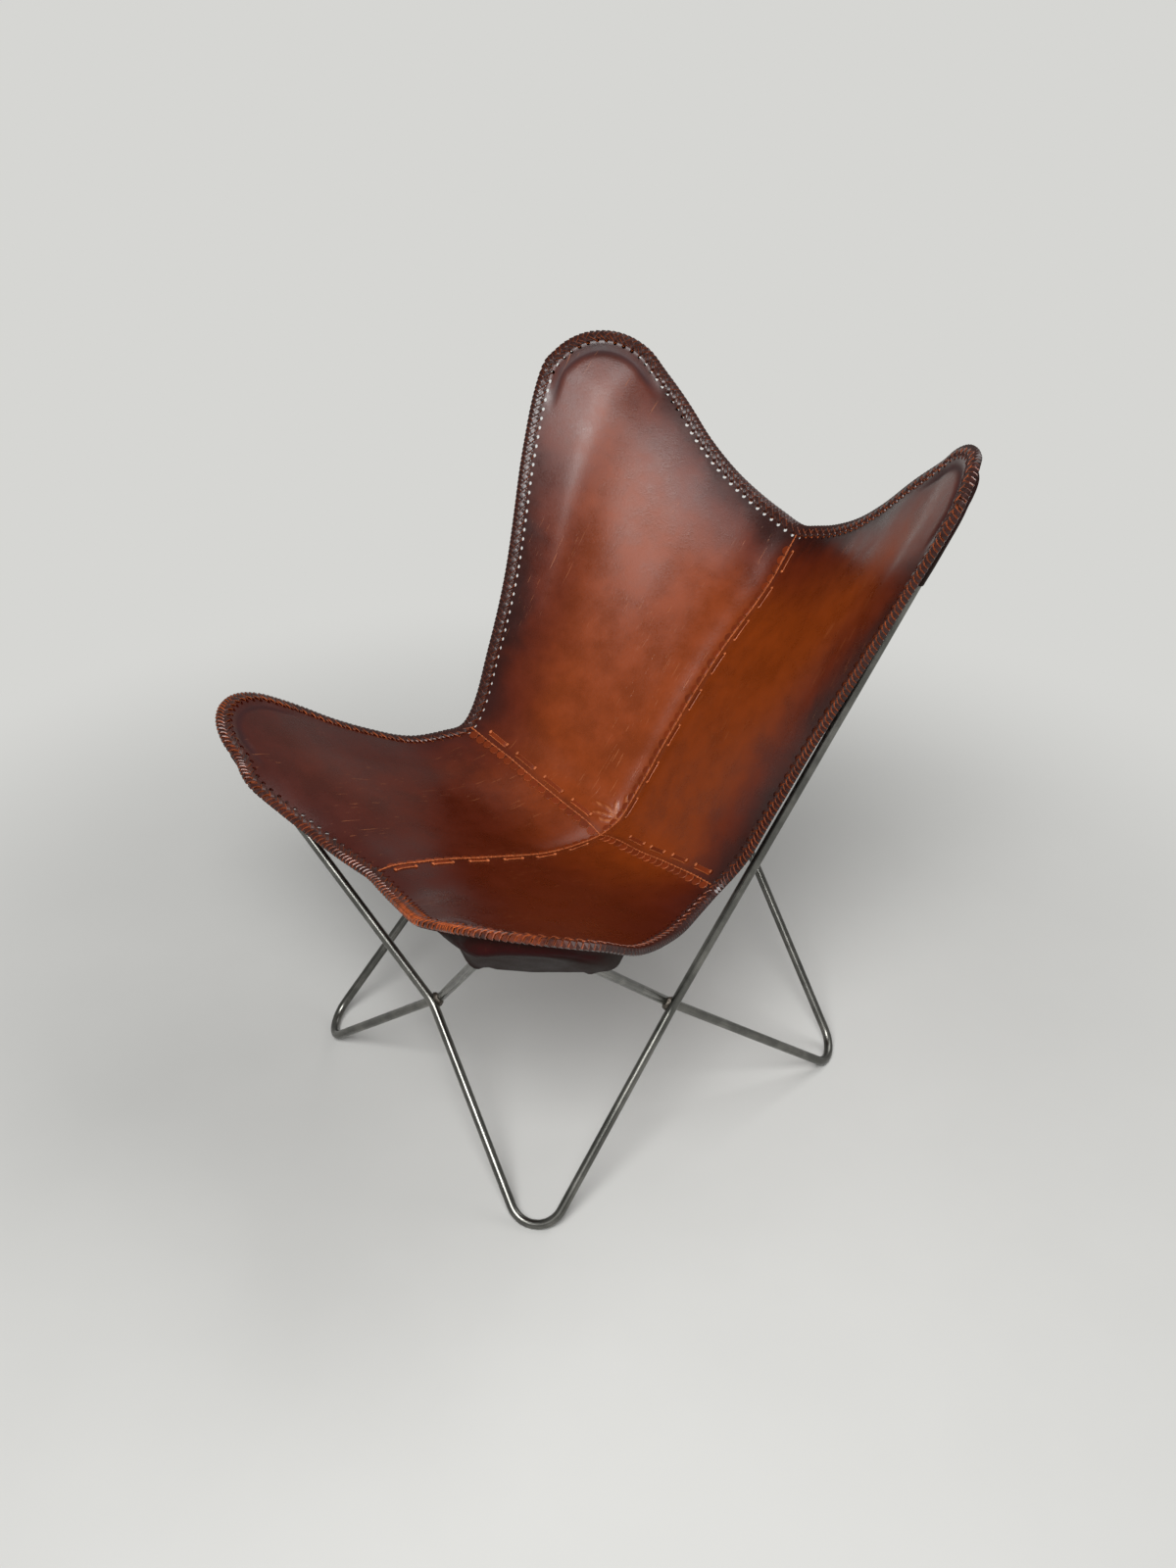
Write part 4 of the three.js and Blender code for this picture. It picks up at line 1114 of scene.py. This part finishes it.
class Nodes:
    """Short ways to add nodes to the tree of a material or of the world"""

    def __init__(self, owner):
        owner.use_nodes = True
        self.tree = owner.node_tree

    def node(self, kind, **settings):
        made_node = self.tree.nodes.new(kind)
        for key, value in settings.items():
            setattr(made_node, key, value)
        return made_node

    def link(self, output, socket):
        self.tree.links.new(output, socket)

    def feed(self, socket, value):
        if isinstance(value, bpy.types.NodeSocket):
            self.link(value, socket)
        else:
            socket.default_value = value

    def blended(self, share, a, b):
        """Mix two shaders, and let the output show the mix"""
        mix = self.node("ShaderNodeMixShader")
        for socket, output in zip(mix.inputs, (share, a.outputs[0], b.outputs[0])):
            self.link(output, socket)
        end = next(n for n in self.tree.nodes if n.bl_idname.startswith("ShaderNodeOutput"))
        self.link(mix.outputs[0], end.inputs["Surface"])

    def math(self, operation, a, b=0.0):
        worked = self.node("ShaderNodeMath", operation=operation)
        for socket, value in zip(worked.inputs, (a, b)):
            self.feed(socket, value)
        return worked.outputs["Value"]

    def looked_at(self):
        """1 for a ray from the eye, from a reflection or through glass, and 0 for plain light"""
        ray = self.node("ShaderNodeLightPath").outputs
        seen = self.math("MAXIMUM", ray["Is Camera Ray"], ray["Is Glossy Ray"])
        return self.math("MAXIMUM", seen, ray["Is Transmission Ray"])


class Finish(Nodes):
    """A material with one Principled shader, and its patterns"""

    def __init__(self, name, **constants):
        self.material = bpy.data.materials.new(name)
        super().__init__(self.material)
        self.shader = self.tree.nodes["Principled BSDF"]
        self.set(**constants)
        self.place = self.node("ShaderNodeTexCoord").outputs["Object"]

    def attribute(self, name, output="Fac"):
        return self.node("ShaderNodeAttribute", attribute_name=name).outputs[output]

    def axis(self, name):
        """How far along X, Y or Z a point lies"""
        parts = self.node("ShaderNodeSeparateXYZ")
        self.link(self.place, parts.inputs[0])
        return parts.outputs[name]

    def stretched(self, scale, place=None, turn=(0.0, 0.0, 0.0)):
        mapping = self.node("ShaderNodeMapping")
        self.link(place or self.place, mapping.inputs["Vector"])
        mapping.inputs["Scale"].default_value = scale
        mapping.inputs["Rotation"].default_value = turn
        return mapping.outputs["Vector"]

    def noise(self, scale, detail=3.0, rough=0.55, place=None, warp=0.0):
        texture = self.node("ShaderNodeTexNoise")
        self.link(place or self.place, texture.inputs["Vector"])
        for key, value in (("Scale", scale), ("Detail", detail), ("Roughness", rough),
                           ("Distortion", warp)):
            texture.inputs[key].default_value = value
        return texture.outputs["Fac"]

    def cells(self, scale):
        texture = self.node("ShaderNodeTexVoronoi")
        self.link(self.place, texture.inputs["Vector"])
        texture.inputs["Scale"].default_value = scale
        return texture.outputs["Distance"]

    def ranged(self, value, low, high, to_low=0.0, to_high=1.0, smooth=True):
        chosen = self.node("ShaderNodeMapRange",
                           interpolation_type="SMOOTHSTEP" if smooth else "LINEAR")
        for key, v in (("Value", value), ("From Min", low), ("From Max", high),
                       ("To Min", to_low), ("To Max", to_high)):
            self.feed(chosen.inputs[key], v)
        return chosen.outputs["Result"]

    def toned(self, colour, tone):
        """A colour made darker below 1 and lighter above"""
        grey = self.node("ShaderNodeCombineColor")
        for socket in list(grey.inputs)[:3]:
            self.link(tone, socket)
        return self.mixed(1.0, colour, grey.outputs[0], "MULTIPLY")

    def mixed(self, share, a, b, blend="MIX"):
        mixer = self.node("ShaderNodeMix", data_type="RGBA", blend_type=blend)
        for socket, value in ((mixer.inputs[0], share), (mixer.inputs[6], a), (mixer.inputs[7], b)):
            self.feed(socket, value)
        return mixer.outputs[2]

    def bump(self, height, strength, distance, after=None):
        bumped = self.node("ShaderNodeBump")
        self.feed(bumped.inputs["Height"], height)
        bumped.inputs["Strength"].default_value = strength
        bumped.inputs["Distance"].default_value = distance
        if after:
            self.link(after, bumped.inputs["Normal"])
        return bumped.outputs["Normal"]

    def set(self, **sockets):
        for name, value in sockets.items():
            self.feed(self.shader.inputs[name.replace("_", " ")], value)


# %% [markdown]
# ### Sling leather
# Thick vegetable-tanned hide, dyed cognac and burnished by hand: bright in the middle of the
# back and nearly black-red at the edges and tips. The seat is darker, partly in its own colour
# and partly as painted shade for the weaker light that falls on it, and a dark arc just inside
# each tip is painted shade where the leather dips past the horn. It has a fine pebble grain,
# cloudy dye and a few pale scratches. Wax gives it a soft gloss over its own sheen.

# %% Sling leather
COGNAC, RUSSET, OXBLOOD = srgb(122, 49, 4), srgb(84, 26, 4), srgb(44, 14, 9)
# The seat and fold colours here are painted shade; the pale mark is the colour of scratches and
# creases.
SEAT_PAINTED_SHADE, PALE_MARK, FOLD_PAINTED_SHADE = srgb(62, 13, 2), srgb(190, 118, 72), srgb(48, 11, 12)


def leather_finish(name, middle, between, rim_colour, seat, gloss, shine):
    f = Finish(name, Specular_IOR_Level=shine, Coat_Weight=shine / 2, Coat_Roughness=0.36)
    clouds = f.noise(7.0, 4.0, 0.6, warp=0.4)
    patches = f.noise(23.0, 5.0, 0.62)
    inward = f.math("ADD", f.attribute("from_edge"), f.math("MULTIPLY", f.math(
        "SUBTRACT", clouds, 0.5), 0.11))
    colour = f.mixed(f.ranged(inward, 0.004, 0.052), rim_colour, between)
    colour = f.mixed(f.ranged(inward, 0.03, 0.15), colour, middle)
    # Painted shade: towards the front the leather turns to the darker seat colour, for the weaker
    # light on the seat.
    seat_shade_share = f.ranged(f.math("ADD", f.axis("Y"), f.math("MULTIPLY", clouds, 0.1)),
                       0.12, -0.06, 0.0, 0.88)
    colour = f.mixed(seat_shade_share, colour, seat)
    by_seam = f.ranged(f.attribute("from_seam"), 0.012, 0.001, 0.0, 0.28)
    colour = f.mixed(by_seam, colour, rim_colour)
    # Painted shade: the fold just inside each tip is darkened, where the leather dips past the
    # horn.
    colour = f.mixed(f.math("MULTIPLY", f.attribute("fold"), 0.92), colour, FOLD_PAINTED_SHADE)
    colour = f.toned(colour, f.ranged(patches, 0.3, 0.7, 0.84, 1.14))
    pores = f.cells(800.0)
    pebbles = f.noise(330.0, 3.0, 0.6)
    scratch_way = f.stretched((240.0, 9.0, 9.0), turn=(0.4, 0.2, 0.9))
    scratch = f.math("MULTIPLY", f.ranged(f.noise(3.0, 2.0, 0.5, scratch_way, 0.6), 0.69, 0.71),
                     f.ranged(f.noise(9.0, 1.0), 0.52, 0.58))
    colour = f.mixed(f.math("MULTIPLY", scratch, 1.3 * shine), colour, PALE_MARK)
    crease = f.ranged(f.attribute("from_pucker"), 0.0024, 0.0010)
    colour = f.mixed(f.math("MULTIPLY", crease, f.ranged(patches, 0.35, 0.6, 0.1, 0.42)), colour,
                     PALE_MARK)
    rough = f.ranged(f.math("ADD", patches, f.math("MULTIPLY", pebbles, 0.4)), 0.45, 0.95,
                     gloss - 0.05, gloss + 0.09)
    f.set(Base_Color=colour,
          Roughness=f.math("ADD", rough, f.math("MULTIPLY", f.attribute("fold"), 0.4)))
    grain = f.bump(f.ranged(f.attribute("from_pucker"), 0.005, 0.0), 0.45, 0.0014)
    grain = f.bump(pebbles, 0.17, 0.0006, grain)
    grain = f.bump(pores, 0.15, 0.0004, grain)
    grain = f.bump(f.noise(46.0, 4.0, 0.6), 0.12, 0.001, grain)
    f.set(Normal=f.bump(scratch, 0.15, 0.0003, grain))
    return f.material


sling_leather = leather_finish("sling leather", COGNAC, RUSSET, OXBLOOD, SEAT_PAINTED_SHADE, 0.29, 0.26)
pocket_leather = leather_finish("pocket leather", srgb(44, 20, 12), srgb(38, 17, 10),
                                srgb(30, 13, 8), srgb(31, 14, 9), 0.50, 0.05)

# %% [markdown]
# ### Thong
# The braid is the same hide cut into strips: a dark burnished face, and cut sides where the
# undyed leather shows tan; that tan is made light enough to stand also for the glint on the
# edges, a painted highlight. Each strand is a shade lighter or darker than the next one.

# %% Thong
def thong_finish(name, face, side, worn_and_lit, gloss, shine):
    f = Finish(name, Specular_IOR_Level=shine, Coat_Weight=0.04, Coat_Roughness=0.3)
    fibre = f.noise(420.0, 3.0, 0.6)
    patches = f.noise(70.0, 3.0, 0.6)
    # The cut sides are light tan, and that light colour also paints the glint on the edges.
    sides = f.math("MULTIPLY", f.attribute("cut"), f.ranged(patches, 0.3, 0.62, 0.45, 1.0))
    # Towards the front, and most on the sitter's left, the lit side, the face turns lighter: partly
    # wear, partly painted light.
    front = f.math("MULTIPLY", f.ranged(f.axis("Y"), -0.24, -0.36, 0.0, 0.8),
                   f.ranged(patches, 0.35, 0.6))
    front = f.math("MULTIPLY", front, f.ranged(f.axis("X"), 0.0, 0.16, 0.25, 1.0))
    colour = f.mixed(sides, f.mixed(front, face, worn_and_lit), side)
    tone = f.ranged(f.math("ADD", f.attribute("shade"), f.math("MULTIPLY", fibre, 0.8)),
                    -2.0, 1.6, 0.55, 1.3, smooth=False)
    f.set(Base_Color=f.toned(colour, tone),
          Roughness=f.ranged(fibre, 0.3, 0.8, gloss - 0.05, gloss + 0.14),
          Normal=f.bump(fibre, 0.3, 0.0004))
    return f.material


braided_thong = thong_finish("braided thong", srgb(44, 16, 11), srgb(186, 92, 42),
                             srgb(104, 42, 16), 0.28, 0.4)
seam_thong = thong_finish("seam thong", srgb(104, 38, 7), srgb(172, 94, 54),
                          srgb(96, 34, 8), 0.42, 0.2)

# %% [markdown]
# ### Steel
# Drawn rod, left bare and oiled. Drawing leaves fine lines along it, so its pattern reads the
# attribute that unrolls the rod, and is stretched along its length. The welds are scaled,
# darker and rougher, with a little of the heat's brown.

# %% Steel
steel = Finish("bare steel rod", Metallic=1.0, Specular_IOR_Level=0.5)
unrolled = steel.attribute("drawn", "Vector")
lines_along = steel.noise(1.0, 4.0, 0.65, steel.stretched((900.0, 900.0, 9.0), unrolled))
blotches = steel.noise(26.0, 4.0, 0.6)
steel_colour = steel.mixed(steel.ranged(blotches, 0.35, 0.7), srgb(96, 96, 92),
                           srgb(126, 125, 120))
steel_colour = steel.mixed(steel.ranged(lines_along, 0.52, 0.72, 0.0, 0.45), steel_colour,
                           srgb(66, 64, 61))
steel.set(Base_Color=steel_colour, Roughness=steel.ranged(lines_along, 0.3, 0.75, 0.24, 0.42),
          Normal=steel.bump(lines_along, 0.12, 0.0002))
weld = Finish("weld bead", Metallic=0.85, Specular_IOR_Level=0.5)
scale_noise = weld.noise(260.0, 4.0, 0.65)
weld.set(Base_Color=weld.mixed(weld.ranged(scale_noise, 0.35, 0.65), srgb(62, 56, 50),
                               srgb(108, 102, 94)),
         Roughness=weld.ranged(scale_noise, 0.3, 0.7, 0.38, 0.6),
         Normal=weld.bump(scale_noise, 0.4, 0.0006))

# %% Give every piece its finish
for group, material in ((panels, sling_leather), (pockets, pocket_leather),
                        (braids, braided_thong), (laced, seam_thong),
                        (rod_loops, steel.material), (weld_pieces, weld.material)):
    for piece in group:
        piece.data.materials.clear()
        piece.data.materials.append(material)
print("finishes", len(bpy.data.materials))

# %% [markdown]
# ## Floor, light and background
# The chair stands on a plain pale floor. Near it the floor is lit as any surface is, so it
# keeps the shadow. Further off, lamps can't reach evenly, so the eye and the reflections see a
# floor that glows softly in one pale tone. Light Path picks those rays out: the glow adds no
# light to the chair.

# %% Floor
BACKDROP = srgb(214, 214, 211)
GLOW_FROM, GLOW_TO = 0.55, 1.6
floor_bm = bmesh.new()
bmesh.ops.create_grid(floor_bm, x_segments=1, y_segments=1, size=60.0)
floor = made("floor", floor_bm)
floor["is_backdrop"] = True
ground = Finish("floor", Specular_IOR_Level=0.3)
ground.set(Base_Color=ground.mixed(ground.noise(3.0, 4.0), srgb(196, 196, 193),
                                   srgb(204, 204, 201)),
           Roughness=ground.ranged(ground.noise(20.0), 0.3, 0.7, 0.55, 0.65))
far = ground.node("ShaderNodeVectorMath", operation="LENGTH")
ground.link(ground.place, far.inputs[0])
backdrop = ground.node("ShaderNodeEmission")
backdrop.inputs["Color"].default_value = BACKDROP
glowing = ground.ranged(far.outputs["Value"], GLOW_FROM, GLOW_TO)
ground.blended(ground.math("MULTIPLY", ground.looked_at(), glowing), ground.shader, backdrop)
floor.data.materials.append(ground.material)
print("floor glows from", GLOW_FROM, "m")

# %% [markdown]
# ### Light
# One soft lamp at the front, on the camera's side, makes the broad sheen on the back. A weaker
# and larger one behind lights the far side. A dim white world fills the shadows, and the eye
# sees a pale grey wall in its place.

# %% Light
WORLD_FILL, WORLD_SEEN = 0.2, 0.42
world = bpy.data.worlds.new("studio")
bpy.context.scene.world = world
room = Nodes(world)
fill, wall = room.tree.nodes["Background"], room.node("ShaderNodeBackground")
for light, colour, strength in ((fill, (1.0, 1.0, 1.0, 1.0), WORLD_FILL),
                                (wall, BACKDROP, WORLD_SEEN)):
    light.inputs["Color"].default_value = colour
    light.inputs["Strength"].default_value = strength
room.blended(room.looked_at(), fill, wall)
bpy.context.scene.view_settings.view_transform = "Standard"


def lamp(name, turn, rise, distance, size, power, aim=(0.0, 0.0, 0.5)):
    """A square soft lamp, by its direction from the chair in degrees"""
    light = bpy.data.lights.new(name, "AREA")
    light.shape, light.size, light.energy = "SQUARE", size, power
    stand = bpy.data.objects.new(name, light)
    a, e = math.radians(turn), math.radians(rise)
    away = Vector((math.sin(a) * math.cos(e), -math.cos(a) * math.cos(e), math.sin(e)))
    stand.location = Vector(aim) + away * distance
    stand.rotation_euler = away.to_track_quat("Z", "Y").to_euler()
    bpy.context.scene.collection.objects.link(stand)


lamp("key", 43, 41, 2.8, 1.3, 92)
lamp("rear", 168, 52, 3.0, 2.0, 34)

# %% [markdown]
# ## Sheets, sizes and the end
# The panels and pockets are sheets of leather, so each states the size it was cut to. The box
# of the CAD model is printed at the start, and that of the finished piece is measured at the end.

def area_of(piece):
    """Area of one face of a sheet: half its surface"""
    return sum(p.area for p in piece.data.polygons) / 2


SHEETS = {"back": ("rear", (0.47, 0.62)), "seat": ("front", (0.36, 0.52)),
          "rear": ("rear", (0.21, 0.17)), "front": ("front", (0.21, 0.17))}
for node, piece in zip(PANELS + POCKETS, panels + pockets):
    end, flat = SHEETS[node.split("_")[0]]
    bend = f"{end}_{'left' if 'left' in node else 'right'}_horn_bend"
    area = round(area_of(piece), 4)
    print(piece.name, "flat", flat, "area", area)

# %% Measure the finished box
low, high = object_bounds()
